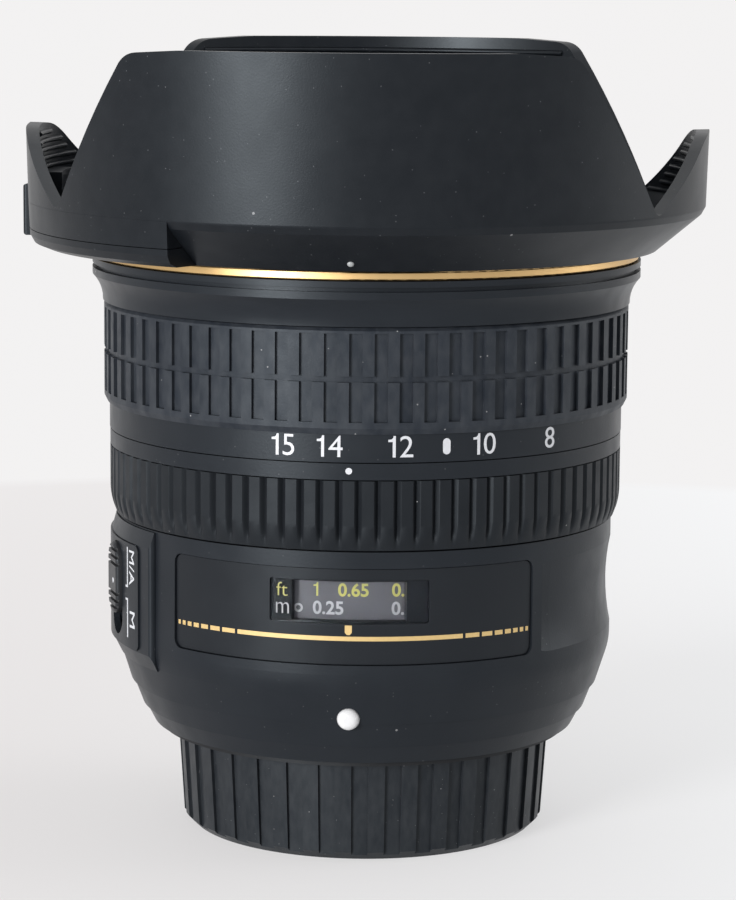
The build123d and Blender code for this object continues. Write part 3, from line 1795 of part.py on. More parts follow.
with BuildPart() as notch:
    with BuildSketch(outward_plane(notch_place_angle, nose_bore - overrun, 0)):
        with BuildLine():
            edge = FilletPolyline(
                (notch_x(petal_flat_angle), hood_top + nest_gap),
                (notch_x(petal_corner_angle), hood_top - petal_fall),
                (0, notch_low),
                (notch_x(side_corner_angle), side_petal_high - petal_fall),
                (notch_x(90), side_petal_high),
                radius=[petal_corner_round, notch_round, side_corner_round],
            )
            Polyline(
                edge @ 1,
                (notch_x(90), hood_top + overrun),
                (notch_x(petal_flat_angle), hood_top + overrun),
                edge @ 0,
            )
        make_face()
    extrude(amount=hood_top_radius - nose_bore + 3 * overrun)
mirrored_notch = mirror(notch.part, about=Plane.YZ)

inner_foot = hood_bottom + hood_wall
inner_wall_low = wall_low + hood_wall / 2
with BuildPart() as hood_shell:
    with BuildSketch(Plane.XZ):
        with BuildLine():
            FilletPolyline(
                (collar_bore, hood_bottom),
                (hood_foot_radius, hood_bottom + hood_foot_rise),
                (cone_edge_radius, cone_high),
                (hood_wall_radius, wall_low),
                (hood_top_radius, hood_top),
                (hood_top_radius - hood_wall, hood_top),
                (hood_wall_radius - hood_wall, inner_wall_low),
                (cone_radius(inner_foot) - hood_wall, inner_foot + hood_wall / 2),
                (collar_radius, inner_foot + hood_wall / 2),
                (collar_radius, collar_high),
                (collar_bore, collar_high),
                radius=[0, 0, 0, corner_round, 0, 0, 0, 0, 0, 0, 0],
                close=True,
            )
        make_face()
    revolve(axis=Axis.Z)
    for third in range(lugs):
        start = nose_lug_place_angle - hood_lug_angle / 2 + third * 360 / lugs
        band(
            hood_lug_radius,
            collar_bore + collar_thickness / 2,
            hood_lug_high - hood_lug_height,
            hood_lug_high,
            start,
            hood_lug_angle,
        )
    turned(
        [
            (cone_radius(lock_seam + nest_gap) - hood_wall / 2, lock_seam + nest_gap),
            (lock_radius, lock_seam + nest_gap),
            (hood_wall_radius, wall_low),
            (cone_edge_radius - hood_wall / 2, cone_high),
        ],
        lock_start_angle,
        lock_angle,
    )
    for half_turn in (0, 180):
        add(notch.part, rotation=(0, 0, half_turn), mode=Mode.SUBTRACT)
        add(mirrored_notch, rotation=(0, 0, half_turn), mode=Mode.SUBTRACT)
    band(
        pocket_radius - hood_wall / 2,
        hood_wall_radius - hood_wall / 2,
        lock_seam,
        button_high + hood_wall,
        lock_place_angle - pocket_half_angle,
        2 * pocket_half_angle,
    )
    cut_button_pocket()
hood_shell.part.label = "hood_shell"
export_step(hood_shell.part, "parts/hood_shell.step")

# Lower cover of the lock, under the seam
with BuildPart() as hood_lock_cover:
    turned(
        [
            (cone_radius(lock_seam - nest_gap) + nest_gap, lock_seam - nest_gap),
            (hood_foot_radius + 2 * nest_gap, hood_bottom + hood_foot_rise),
            (lock_radius - lock_foot_inset, hood_bottom + hood_foot_rise + nest_gap),
            (lock_radius - lock_round_inset, hood_bottom + lock_round_rise),
            (lock_radius - nest_gap, hood_bottom + lock_edge_rise),
            (lock_radius, lock_seam - nest_gap),
        ],
        lock_start_angle,
        lock_angle,
    )
    cut_button_pocket()
hood_lock_cover.part.label = "hood_lock_cover"
export_step(hood_lock_cover.part, "parts/hood_lock_cover.step")

# Lock button with its stem and tooth
tooth_inner = nose_radius + tooth_gap
spring_height = button_high - lock_spring_drop
with BuildPart() as hood_lock_button:
    radial_block(
        lock_place_angle, button_inner, button_outer, button_low, button_high, 2 * button_half_width
    )
    face_point = outward_plane(lock_place_angle, button_outer, (button_low + button_high) / 2).origin
    outer_face = hood_lock_button.faces().sort_by_distance(face_point)[0]
    fillet(outer_face.edges(), button_round)
    radial_block(lock_place_angle, tooth_inner, button_inner, stem_low, stem_high, stem_width)
    recess_radius = lock_spring_radius + lock_spring_wire + running_fit
    with BuildSketch(outward_plane(lock_place_angle, button_inner, spring_height)) as recess:
        Circle(recess_radius)
    extrude(recess.sketch, amount=lock_spring_recess, mode=Mode.SUBTRACT)
hood_lock_button.part.label = "hood_lock_button"
export_step(hood_lock_button.part, "parts/hood_lock_button.step")

# Coil spring from the pocket's floor into the button's recess
spring_start = pocket_radius + nest_gap + lock_spring_wire / 2
spring_end = button_inner + lock_spring_recess - nest_gap - lock_spring_wire / 2
with BuildPart() as hood_lock_spring:
    coil_plane = outward_plane(lock_place_angle, spring_start, spring_height)
    coil_length = spring_end - spring_start
    with BuildLine() as coil:
        Helix(
            coil_length / lock_spring_turns,
            coil_length,
            lock_spring_radius,
            center=coil_plane.origin,
            direction=coil_plane.z_dir,
        )
    with BuildSketch(Plane(origin=coil.line @ 0, z_dir=coil.line % 0)):
        Circle(lock_spring_wire / 2)
    sweep(is_frenet=True)
hood_lock_spring.part.label = "hood_lock_spring"
export_step(hood_lock_spring.part, "parts/hood_lock_spring.step")
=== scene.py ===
"""Dresses a fisheye zoom lens: its paints, rubbers, glass and metals, its scales and
marks, the ribs inside its hood, and the pale table and soft lamps round it."""

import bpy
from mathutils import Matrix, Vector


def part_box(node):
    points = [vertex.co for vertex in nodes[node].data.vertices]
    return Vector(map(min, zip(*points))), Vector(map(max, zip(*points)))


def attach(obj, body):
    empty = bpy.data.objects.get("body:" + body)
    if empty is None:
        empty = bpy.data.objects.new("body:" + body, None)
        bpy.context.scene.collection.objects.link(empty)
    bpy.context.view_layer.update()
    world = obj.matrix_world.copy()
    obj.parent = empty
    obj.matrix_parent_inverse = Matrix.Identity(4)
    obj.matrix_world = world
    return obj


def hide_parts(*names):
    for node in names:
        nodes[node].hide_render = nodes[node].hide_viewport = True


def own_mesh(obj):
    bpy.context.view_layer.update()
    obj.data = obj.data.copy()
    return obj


bl_info = {
    "name": "Fisheye Zoom Lens",
    "version": (1, 0, 0),
    "blender": (4, 5, 0),
    "location": "3D View > Sidebar > Lens",
    "description": "Finishes, scales and hood ribs of a fisheye zoom lens on a pale table",
    "category": "Object",
}

import math
from functools import partial

import bmesh
import bpy
from bpy.props import FloatProperty, FloatVectorProperty, IntProperty, PointerProperty
from mathutils import Matrix, Vector
from mathutils.bvhtree import BVHTree

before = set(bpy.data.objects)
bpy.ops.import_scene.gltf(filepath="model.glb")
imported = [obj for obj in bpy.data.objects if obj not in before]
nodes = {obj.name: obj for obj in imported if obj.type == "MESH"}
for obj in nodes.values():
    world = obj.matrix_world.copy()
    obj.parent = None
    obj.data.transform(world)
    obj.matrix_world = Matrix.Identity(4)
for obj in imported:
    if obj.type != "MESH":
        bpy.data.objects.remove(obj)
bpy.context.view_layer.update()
MM = 0.001
TURN = 2 * math.pi
# A ray that starts this far from the axis starts outside the lens.
OUTSIDE = 60 * MM
# Points of a mesh that are closer than this become one.
WELD = 1e-7


def length(label, text, default, high=1.0):
    """A length in metres that a user can change."""
    return FloatProperty(
        name=label, description=text, default=default, min=0, max=high,
        unit="LENGTH", precision=5,
    )


def angle(label, text, degrees):
    """An angle that a user can change."""
    return FloatProperty(
        name=label, description=text, default=math.radians(degrees),
        subtype="ANGLE", unit="ROTATION",
    )


def share(label, text, default):
    """A number from 0 to 1 that a user can change."""
    return FloatProperty(
        name=label, description=text, default=default, min=0, max=1, subtype="FACTOR"
    )


def colour(label, text, default):
    """A colour that a user can change."""
    return FloatVectorProperty(
        name=label, description=text, default=default, size=3, min=0, max=1, subtype="COLOR"
    )


def whole(label, text, default, low, high):
    """A whole number that a user can change."""
    return IntProperty(name=label, description=text, default=default, min=low, max=high)


def watts(label, text, default):
    """A lamp's power that a user can change."""
    return FloatProperty(name=label, description=text, default=default, min=0, unit="POWER")


class LensFinishes(bpy.types.PropertyGroup):
    """Colours and surface grain of the lens"""

    barrel_paint: colour("Barrel paint", "Satin black of housing, rings", (0.0088, 0.0105, 0.0135))
    plate_paint: colour("Plate paint", "Smooth charcoal of the nameplate", (0.009, 0.0102, 0.0125))
    hood_plastic: colour("Hood", "Matte charcoal plastic of the hood", (0.0045, 0.0055, 0.0074))
    cap_plastic: colour("Rear cap", "Dull black plastic of the rear cap", (0.0105, 0.0125, 0.0155))
    zoom_rubber: colour("Zoom grip", "Blue-grey rubber of the zoom grip", (0.0115, 0.0142, 0.0195))
    focus_rubber: colour("Focus grip", "Darker rubber of the focus grip", (0.0055, 0.0066, 0.0085))
    gold_ring: colour("Gold ring", "Satin gold of the thin ring", (0.60, 0.41, 0.19))
    gold_print: colour("Gold print", "Gold ink on the nameplate", (0.55, 0.39, 0.165))
    white_print: colour("White print", "White ink of numbers and dots", (0.52, 0.53, 0.56))
    hood_dot: colour("Hood dot", "Dull white of the dot on the hood", (0.29, 0.30, 0.305))
    unit_share: share("Unit print", "Brightness of the units over that of the numbers", 0.62)
    feet_print: colour("Feet print", "Yellow ink of the feet scale", (0.56, 0.54, 0.15))
    drum_paint: colour("Distance drum", "Grey of the drum behind the window", (0.105, 0.108, 0.125))
    grain_size: length("Paint grain", "Size of the paint's fine grain", 0.32 * MM, 0.01)
    grain_height: length("Grain height", "Height of the paint's fine grain", 0.010 * MM, 0.001)
    speck_size: length("Dust spacing", "Spacing of the dust specks", 0.9 * MM, 0.02)
    speck_share: share("Dust", "Share of places that hold a speck of dust", 0.03)


class LensMarks(bpy.types.PropertyGroup):
    """Sizes of the printed numbers, lines and dots"""

    zoom_digit: length("Zoom numbers", "Height of the focal length numbers", 2.85 * MM, 0.02)
    scale_digit: length("Distance numbers", "Height of feet and metre numbers", 1.85 * MM, 0.02)
    switch_letter: length("Switch letters", "Height of letters beside the switch", 1.65 * MM, 0.02)
    print_depth: length("Print thickness", "How far the print stands proud", 0.035 * MM, 0.001)
    dot_width: length("Index dot width", "Width of the dot on the index ring", 0.88 * MM, 0.01)
    line_height: length("Gold line height", "Height of the gold line", 0.6 * MM, 0.01)
    line_half: angle("Gold line half angle", "Half the unbroken part of the gold line", 25.7)
    dash_count: whole("Dashes", "Dashes at each end of the gold line", 7, 1, 20)
    dash_length: length("First dash", "Length of the first dash", 2.05 * MM, 0.02)
    dash_shrink: share("Dash shrink", "Length of each dash over the one before it", 0.775)
    dash_gap: length("Dash gap", "Gap between two dashes", 0.42 * MM, 0.01)


class FocusRibs(bpy.types.PropertyGroup):
    """The soft ribs of the focus grip"""

    count: whole("Ribs", "Ribs round the focus grip", 88, 8, 300)
    groove_half: length("Groove half width", "Half the width of a groove", 0.55 * MM, 0.01)
    depth: length("Groove depth", "Depth of the groove", 0.62 * MM, 0.005)
    run_out: length("Groove run-out", "Height over which a groove runs out", 1.9 * MM, 0.02)


class HoodRibs(bpy.types.PropertyGroup):
    """The fine ribs inside the hood"""

    pitch: length("Rib pitch", "Height from one rib to the next", 1.2 * MM, 0.02)
    height: length("Rib height", "How far a rib stands off the wall", 0.42 * MM, 0.01)
    lowest: length("Lowest rib", "Height of the lowest rib over the table", 89.7 * MM)
    margin: length("Edge margin", "Bare strip along the edge of each petal", 1.1 * MM, 0.02)


class LensStage(bpy.types.PropertyGroup):
    """Table, lamps and camera"""

    # Painted shade on the left of the near table, painted light on its right.
    table_painted_shade_left: colour("Table", "Table near the lens, on the left", (0.845, 0.825, 0.825))
    table_painted_light_right: colour("Table right", "Table near the lens, on the right", (0.92, 0.925, 0.935))
    backdrop_colour: colour("Backdrop", "Table far from the lens", (0.895, 0.885, 0.885))
    table_reach: length("Near table", "Radius of the near part of the table", 0.305, 5.0)
    shadow_share: share("Shadow", "Share of the table that takes lamps and shadows", 0.38)
    room_light: share("Room light", "Strength of the light from all round", 0.38)
    window_power: watts("Window lamp", "Power of the large lamp on the left", 19.0)
    ceiling_power: watts("Ceiling lamp", "Power of the lamp overhead", 5.0)
    side_power: watts("Side lamp", "Power of the lamp on the right", 6.0)
    camera_azimuth: angle("Camera azimuth", "Angle of the camera round the lens", 3.35)
    camera_distance: length("Camera distance", "From lens axis to camera", 453.2 * MM, 5.0)
    camera_offset: length("Camera offset", "Sideways offset of the camera", 0.394 * MM, 0.1)
    camera_height: length("Camera height", "Camera over the table", 122.37 * MM, 5.0)
    camera_pitch: angle("Camera pitch", "Downward tilt of the camera", 8.663)
    camera_roll: angle("Camera roll", "Roll of the camera", 0.453)
    camera_lens: FloatProperty(
        name="Focal length", description="Focal length of the camera",
        default=128.14, min=10, max=500, unit="CAMERA",
    )


SETTINGS = (
    ("lens_finishes", LensFinishes),
    ("lens_marks", LensMarks),
    ("focus_ribs", FocusRibs),
    ("hood_ribs", HoodRibs),
    ("lens_stage", LensStage),
)


def feed(tree, socket, value):
    """Links a socket to another node's output, or sets it to a plain value."""
    if isinstance(value, bpy.types.NodeSocket):
        tree.links.new(value, socket)
    else:
        socket.default_value = value


def put(tree, kind, *values, **named):
    """A new node. Plain values go to its inputs in order; of the named ones, lower case is
    a setting of the node and a capital is an input, with _ for a space."""
    node = tree.nodes.new(kind)
    places = list(enumerate(values))
    for name, value in named.items():
        if name[0].islower():
            setattr(node, name, value)
        else:
            places.append((name.replace("_", " "), value))
    for place, value in places:
        feed(tree, node.inputs[place], value)
    return node


# Black paints and plastics have a faint and slightly blue gloss.
BLACK = {"Specular_IOR_Level": 0.2, "Specular_Tint": (0.84, 0.93, 1.0, 1.0)}
DUST = (0.2, 0.2, 0.205)


class Coat:
    """One Principled material; its patterns follow Object coordinates."""

    def __init__(self, name, base, roughness, metallic=0.0, **constants):
        self.material = bpy.data.materials.new(name)
        self.material.use_nodes = True
        self.material.diffuse_color = (*base, 1)
        self.tree = self.material.node_tree
        self.put = partial(put, self.tree)
        self.shader = self.tree.nodes["Principled BSDF"]
        self.set("Base Color", (*base, 1))
        self.set("Roughness", roughness)
        self.set("Metallic", metallic)
        for socket, value in constants.items():
            self.set(socket.replace("_", " "), value)
        self.place = self.put("ShaderNodeTexCoord").outputs["Object"]
        self.tint = (*base, 1)
        self.slope = None

    def set(self, socket, value):
        """Gives one of the shader's sockets a value or a pattern."""
        feed(self.tree, self.shader.inputs[socket], value)

    def noise(self, size, detail=3.0, stretch=(1, 1, 1)):
        """A noise whose blotches are about this size."""
        mapping = self.put("ShaderNodeMapping", Vector=self.place, Scale=stretch)
        noise = self.put(
            "ShaderNodeTexNoise", Vector=mapping.outputs["Vector"], Scale=1 / size, Detail=detail
        )
        return noise.outputs["Fac"]

    def spread(self, value, low, high, from_low=0.3, from_high=0.7):
        """A pattern's value brought to a range."""
        return self.put(
            "ShaderNodeMapRange", Value=value,
            From_Min=from_low, From_Max=from_high, To_Min=low, To_Max=high,
        ).outputs["Result"]

    def mix(self, share_out, second):
        """The second colour laid over what is there."""
        node = self.put("ShaderNodeMix", share_out, data_type="RGBA")
        colours = [socket for socket in node.inputs if socket.type == "RGBA"]
        feed(self.tree, colours[0], self.tint)
        feed(self.tree, colours[1], (*second, 1))
        self.tint = [socket for socket in node.outputs if socket.type == "RGBA"][0]
        self.set("Base Color", self.tint)

    def patches(self, second, size, strength=1.0, detail=4.0, stretch=(1, 1, 1)):
        """Soft blotches of a second colour."""
        self.mix(self.spread(self.noise(size, detail, stretch), 0, strength, 0.35), second)

    def sheen_change(self, low, high, size):
        """Roughness that wanders between two values."""
        self.set("Roughness", self.spread(self.noise(size), low, high))

    def specks(self, second, spacing, amount, width=0.2):
        """Small pale specks, as of dust."""
        cells = self.put("ShaderNodeTexVoronoi", Vector=self.place, Scale=1 / spacing).outputs
        near = self.put("ShaderNodeMath", cells["Distance"], width, operation="LESS_THAN")
        number = self.put("ShaderNodeSeparateColor", cells["Color"]).outputs[0]
        chosen = self.put("ShaderNodeMath", number, 1 - amount, operation="GREATER_THAN")
        both = self.put(
            "ShaderNodeMath", near.outputs[0], chosen.outputs[0], operation="MULTIPLY"
        )
        self.mix(both.outputs[0], second)

    def raise_by(self, pattern, height):
        """A pattern's relief, added to the relief already there."""
        bump = self.put("ShaderNodeBump", Distance=height, Height=pattern)
        if self.slope is not None:
            feed(self.tree, bump.inputs["Normal"], self.slope)
        self.slope = bump.outputs["Normal"]
        self.set("Normal", self.slope)

    def grain(self, size, height, detail=2.0, stretch=(1, 1, 1)):
        """Fine relief, as of paint, moulded plastic or rubber."""
        self.raise_by(self.noise(size, detail, stretch), height)

    def lathe_lines(self, pitch, height, rings=False):
        """Turning marks: bands up a wall, or rings on a face."""
        way = {"wave_type": "BANDS", "bands_direction": "Z"}
        if rings:
            way = {"wave_type": "RINGS", "rings_direction": "Z"}
        at_scale_one = 0.314
        wave = self.put(
            "ShaderNodeTexWave", self.place, Scale=at_scale_one / pitch, Distortion=0.6, **way
        )
        self.raise_by(wave.outputs["Fac"], height)


def dress(material, *names):
    """Gives CAD nodes a material in every slot they have."""
    for name in names:
        if name not in nodes:
            raise RuntimeError(f"the frame has no node {name}")
        for place in nodes[name].material_slots:
            place.material = material


def on_barrel(radius, azimuth, height):
    """The point at an angle round the axis, 0 at the front and growing to the right."""
    return Vector((radius * math.sin(azimuth), -radius * math.cos(azimuth), height))


def skin_of(node):
    """A CAD node's surface, for rays to find."""
    return BVHTree.FromObject(nodes[node], bpy.context.evaluated_depsgraph_get())


def as_piece(name, mesh, material, body):
    """A finished mesh as a piece that rides on a body."""
    mesh.materials.clear()
    mesh.materials.append(material)
    piece = bpy.data.objects.new(name, mesh)
    bpy.context.scene.collection.objects.link(piece)
    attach(piece, body)
    return piece


def to_mesh(shape, name):
    """A bmesh as a mesh; the bmesh is freed."""
    mesh = bpy.data.meshes.new(name)
    shape.to_mesh(mesh)
    shape.free()
    return mesh


def closed(mesh):
    """Merges doubles and turns the faces outwards."""
    shape = bmesh.new()
    shape.from_mesh(mesh)
    bmesh.ops.remove_doubles(shape, verts=shape.verts, dist=WELD)
    bmesh.ops.recalc_face_normals(shape, faces=shape.faces)
    shape.to_mesh(mesh)
    shape.free()
    return mesh


def loft(name, loops, around=False):
    """A closed skin over loops of points, with a cap at each end or joined all round."""
    shape = bmesh.new()
    rows = [[shape.verts.new(point) for point in loop] for loop in loops]
    pairs = list(zip(rows, rows[1:]))
    if around:
        pairs.append((rows[-1], rows[0]))
    else:
        shape.faces.new(rows[0])
        shape.faces.new(rows[-1])
    for one, two in pairs:
        for n in range(len(one)):
            shape.faces.new((one[n - 1], one[n], two[n], two[n - 1]))
    return closed(to_mesh(shape, name))


def plate(name, points, depth):
    """A flat outline as a closed plate, thickness both ways."""
    return loft(name, [[(x, y, z) for x, y in points] for z in (-depth, depth)])


def bar(name, wide, tall, depth, steps=1):
    """A long bar, cut into steps so that it can follow a barrel."""
    corners = [(y * tall / 2, z * depth) for y, z in ((-1, -1), (1, -1), (1, 1), (-1, 1))]
    return loft(name, [
        [(wide * (n / steps - 0.5), y, z) for y, z in corners] for n in range(steps + 1)
    ])


def dot(name, wide, tall, depth, steps=28):
    """A disc, or an upright pill where it is taller than wide."""
    reach = (tall - wide) / 2
    points = []
    for n in range(steps):
        turn = TURN * (n + 0.5) / steps
        shift = reach if math.sin(turn) > 0 else -reach
        points.append((wide / 2 * math.cos(turn), wide / 2 * math.sin(turn) + shift))
    return plate(name, points, depth)


def joined(name, meshes):
    """Several meshes as one."""
    shape = bmesh.new()
    for mesh in meshes:
        shape.from_mesh(mesh)
        bpy.data.meshes.remove(mesh)
    return to_mesh(shape, name)


def spans(mesh):
    """The lowest and highest x and y of a flat drawing."""
    return [
        (min(v.co[axis] for v in mesh.vertices), max(v.co[axis] for v in mesh.vertices))
        for axis in (0, 1)
    ]


def lettering(words, height, depth, weight=-0.002, width=None):
    """Words as a closed flat mesh, centred, with the letters this high."""
    if words.startswith("1"):
        return with_one(words[1:], height, depth, weight)
    curve = bpy.data.curves.new("words", "FONT")
    curve.body = words
    curve.offset = weight
    curve.extrude = 0.5
    curve.resolution_u = 4
    holder = bpy.data.objects.new("words", curve)
    bpy.context.scene.collection.objects.link(holder)
    graph = bpy.context.evaluated_depsgraph_get()
    mesh = bpy.data.meshes.new_from_object(holder.evaluated_get(graph))
    bpy.data.objects.remove(holder)
    bpy.data.curves.remove(curve)
    if not mesh.vertices:
        raise RuntimeError(f"no letters were made for {words}")
    (left, right), (low, high) = spans(mesh)
    tall = height / (high - low)
    wide = width / (right - left) if width else tall
    mesh.transform(
        Matrix.Diagonal((wide, tall, 2 * depth, 1))
        @ Matrix.Translation((-(left + right) / 2, -(low + high) / 2, 0))
    )
    return closed(mesh)


# The outline of a 1 with a flag on its left, for a height of 1, and the gap after it.
ONE = (
    (0.0, 0.0), (0.0, 1.0), (-0.09, 1.0), (-0.125, 0.9), (-0.195, 0.84),
    (-0.345, 0.82), (-0.345, 0.72), (-0.14, 0.72), (-0.14, 0.0),
)
ONE_GAP = 0.2


def with_one(rest, height, depth, weight):
    """A number that starts with a 1."""
    parts = [plate("one", [(x * height, (y - 0.5) * height) for x, y in ONE], depth)]
    if rest:
        digits = lettering(rest, height, depth, weight)
        left = spans(digits)[0][0]
        digits.transform(Matrix.Translation((ONE_GAP * height - left, 0, 0)))
        parts.append(digits)
    number = joined("number", parts)
    left, right = spans(number)[0]
    number.transform(Matrix.Translation((-(left + right) / 2, 0, 0)))
    return number


def wrap(mesh, radius, degrees, height, turned=False):
    """Lays a flat drawing on the barrel; turned, its words run downwards."""
    azimuth = math.radians(degrees)
    for vertex in mesh.vertices:
        x, y, z = vertex.co
        if turned:
            x, y = y, -x
        vertex.co = on_barrel(radius + z, azimuth + x / radius, height + y)
    mesh.update()
    return closed(mesh)


def new_tree(name, sockets):
    """A Geometry Nodes tree; gives it, its inputs, and their identifiers by name."""
    tree = bpy.data.node_groups.new(name, "GeometryNodeTree")
    tree.interface.new_socket("Geometry", in_out="OUTPUT", socket_type="NodeSocketGeometry")
    found = {}
    for kind, labels in {"Geometry": ["Geometry"], **sockets}.items():
        for label in labels:
            found[label] = tree.interface.new_socket(
                label, in_out="INPUT", socket_type=f"NodeSocket{kind}"
            ).identifier
    return tree, put(tree, "NodeGroupInput").outputs, found


def arithmetic(tree):
    """Functions that add Math nodes: any operation, plus, less, times and over."""

    def math_node(operation, *values):
        return put(tree, "ShaderNodeMath", *values, operation=operation).outputs[0]

    four = ("ADD", "SUBTRACT", "MULTIPLY", "DIVIDE")
    return (math_node, *(partial(math_node, name) for name in four))


def position(tree):
    """The x, y and z of a point, inside a tree."""
    where = put(tree, "GeometryNodeInputPosition").outputs[0]
    return put(tree, "ShaderNodeSeparateXYZ", where).outputs


def end_tree(tree, geometry, material):
    """Ends a tree: instances made real and every face given a material."""
    real = put(tree, "GeometryNodeRealizeInstances", geometry)
    paint = put(tree, "GeometryNodeSetMaterial", Geometry=real.outputs[0], Material=material)
    put(tree, "NodeGroupOutput", paint.outputs[0])


def grow(name, mesh, tree, found, values):
    """What a node tree makes of a mesh, as a plain mesh with no modifier."""
    holder = bpy.data.objects.new(name, mesh)
    modifier = holder.modifiers.new(name, "NODES")
    modifier.node_group = tree
    for label, value in values.items():
        modifier[found[label]] = value
    bpy.context.scene.collection.objects.link(holder)
    graph = bpy.context.evaluated_depsgraph_get()
    made = bpy.data.meshes.new_from_object(holder.evaluated_get(graph))
    holder.modifiers.clear()
    bpy.data.objects.remove(holder)
    bpy.data.meshes.remove(mesh)
    if not made.polygons:
        raise RuntimeError(f"the tree {name} made nothing")
    return made


class LENS_OT_barrel_finish(bpy.types.Operator):
    """Paint the housing, rings, nameplate and switch plate"""

    bl_idname = "lens.barrel_finish"
    bl_label = "Paint Barrel"

    def execute(self, context):
        look = context.scene.lens_finishes
        worn = (0.0125, 0.0145, 0.018)
        paint = Coat("satin_paint", look.barrel_paint, 0.36, **BLACK)
        paint.patches(worn, 9 * MM, 0.55)
        paint.specks((0.16, 0.16, 0.165), look.speck_size * 2.4, look.speck_share * 0.6, 0.09)
        paint.specks((0.06, 0.062, 0.066), 0.55 * MM, 0.05, 0.15)
        paint.sheen_change(0.32, 0.42, 5 * MM)
        paint.grain(look.grain_size, look.grain_height, 3.0)
        dress(
            paint.material,
            "rear_housing", "index_ring", "zoom_ring", "focus_ring", "switch_plate",
        )
        dark = Coat("front_barrel_paint", look.barrel_paint, 0.33, **BLACK)
        dark.patches(worn, 7 * MM, 0.5, stretch=(1, 1, 3))
        dark.sheen_change(0.29, 0.38, 4 * MM)
        dark.specks(DUST, look.speck_size * 1.8, look.speck_share * 0.6, 0.1)
        dark.grain(look.grain_size * 0.8, look.grain_height * 0.6)
        dress(dark.material, "front_barrel")
        smooth = Coat("smooth_plate", look.plate_paint, 0.34, **BLACK)
        smooth.patches((0.012, 0.0135, 0.0165), 11 * MM, 0.4)
        smooth.sheen_change(0.3, 0.38, 6 * MM)
        smooth.grain(look.grain_size * 0.5, look.grain_height * 0.3)
        dress(smooth.material, "nameplate")
        knob = Coat("slider_plastic", (0.016, 0.0165, 0.018), 0.36, **BLACK)
        knob.patches((0.026, 0.027, 0.030), 1.6 * MM, 0.5)
        knob.grain(look.grain_size, look.grain_height * 0.6)
        dress(knob.material, "mode_switch_slider")
        return {"FINISHED"}


class LENS_OT_rubber_finish(bpy.types.Operator):
    """Give the grips and the mount's lip their rubber"""

    bl_idname = "lens.rubber_finish"
    bl_label = "Finish Rubber"

    def execute(self, context):
        look = context.scene.lens_finishes
        zoom = Coat("zoom_grip_rubber", look.zoom_rubber, 0.46, **BLACK)
        zoom.patches((0.021, 0.0245, 0.031), 3.5 * MM, 0.7, 5.0, (1, 1, 0.35))
        zoom.patches((0.050, 0.054, 0.060), 1.3 * MM, 0.35, 6.0, (1, 1, 0.5))
        zoom.specks(DUST, look.speck_size, look.speck_share * 2.2, 0.12)
        zoom.sheen_change(0.4, 0.54, 2.5 * MM)
        zoom.grain(0.3 * MM, 0.012 * MM, 4.0)
        dress(zoom.material, "zoom_grip")
        focus = Coat("focus_grip_rubber", look.focus_rubber, 0.5, **BLACK)
        focus.patches((0.011, 0.0125, 0.015), 3 * MM, 0.6, 4.0, (1, 1, 0.4))
        focus.specks((0.2, 0.2, 0.2), look.speck_size, look.speck_share * 0.5, 0.12)
        focus.sheen_change(0.45, 0.57, 2.5 * MM)
        focus.grain(0.3 * MM, 0.010 * MM, 3.0)
        dress(focus.material, "focus_grip")
        lip = Coat("mount_lip_rubber", (0.010, 0.010, 0.011), 0.5, **BLACK)
        lip.patches((0.018, 0.018, 0.019), 3 * MM, 0.5)
        lip.grain(0.2 * MM, 0.006 * MM)
        dress(lip.material, "mount_gasket")
        return {"FINISHED"}


def hood_plastic(look):
    """The hood's matte charcoal, shared with the ribs inside it."""
    found = bpy.data.materials.get("hood_plastic")
    if found:
        return found
    coat = Coat("hood_plastic", look.hood_plastic, 0.36, **BLACK)
    coat.patches((0.0065, 0.0078, 0.010), 14 * MM, 0.5)
    coat.patches((0.012, 0.0135, 0.016), 2.4 * MM, 0.3)
    coat.specks((0.17, 0.17, 0.175), look.speck_size * 2.6, look.speck_share, 0.08)
    coat.sheen_change(0.33, 0.40, 8 * MM)
    coat.specks((0.06, 0.063, 0.068), 0.5 * MM, 0.06, 0.16)
    coat.grain(look.grain_size * 0.75, look.grain_height * 0.85, 4.0)
    return coat.material


class LENS_OT_hood_finish(bpy.types.Operator):
    """Give the hood and its lock their matte plastic"""

    bl_idname = "lens.hood_finish"
    bl_label = "Finish Hood"

    def execute(self, context):
        plastic = hood_plastic(context.scene.lens_finishes)
        dress(plastic, "hood_shell", "hood_lock_cover", "hood_lock_button")
        return {"FINISHED"}


class LENS_OT_cap_finish(bpy.types.Operator):
    """Give the rear cap its dull, slightly dusty plastic"""

    bl_idname = "lens.cap_finish"
    bl_label = "Finish Rear Cap"

    def execute(self, context):
        look = context.scene.lens_finishes
        cap = Coat("cap_plastic", look.cap_plastic, 0.4, **BLACK)
        cap.patches((0.021, 0.0235, 0.027), 5 * MM, 0.6, 4.0, (1, 1, 0.5))
        cap.patches((0.050, 0.053, 0.057), 0.8 * MM, 0.2, 6.0, (1, 1, 0.4))
        cap.specks(DUST, look.speck_size * 0.8, look.speck_share * 3, 0.1)
        cap.specks((0.11, 0.112, 0.118), 0.4 * MM, 0.06, 0.15)
        cap.sheen_change(0.35, 0.46, 3 * MM)
        cap.grain(0.3 * MM, 0.009 * MM, 3.0)
        dress(cap.material, "rear_cap")
        return {"FINISHED"}


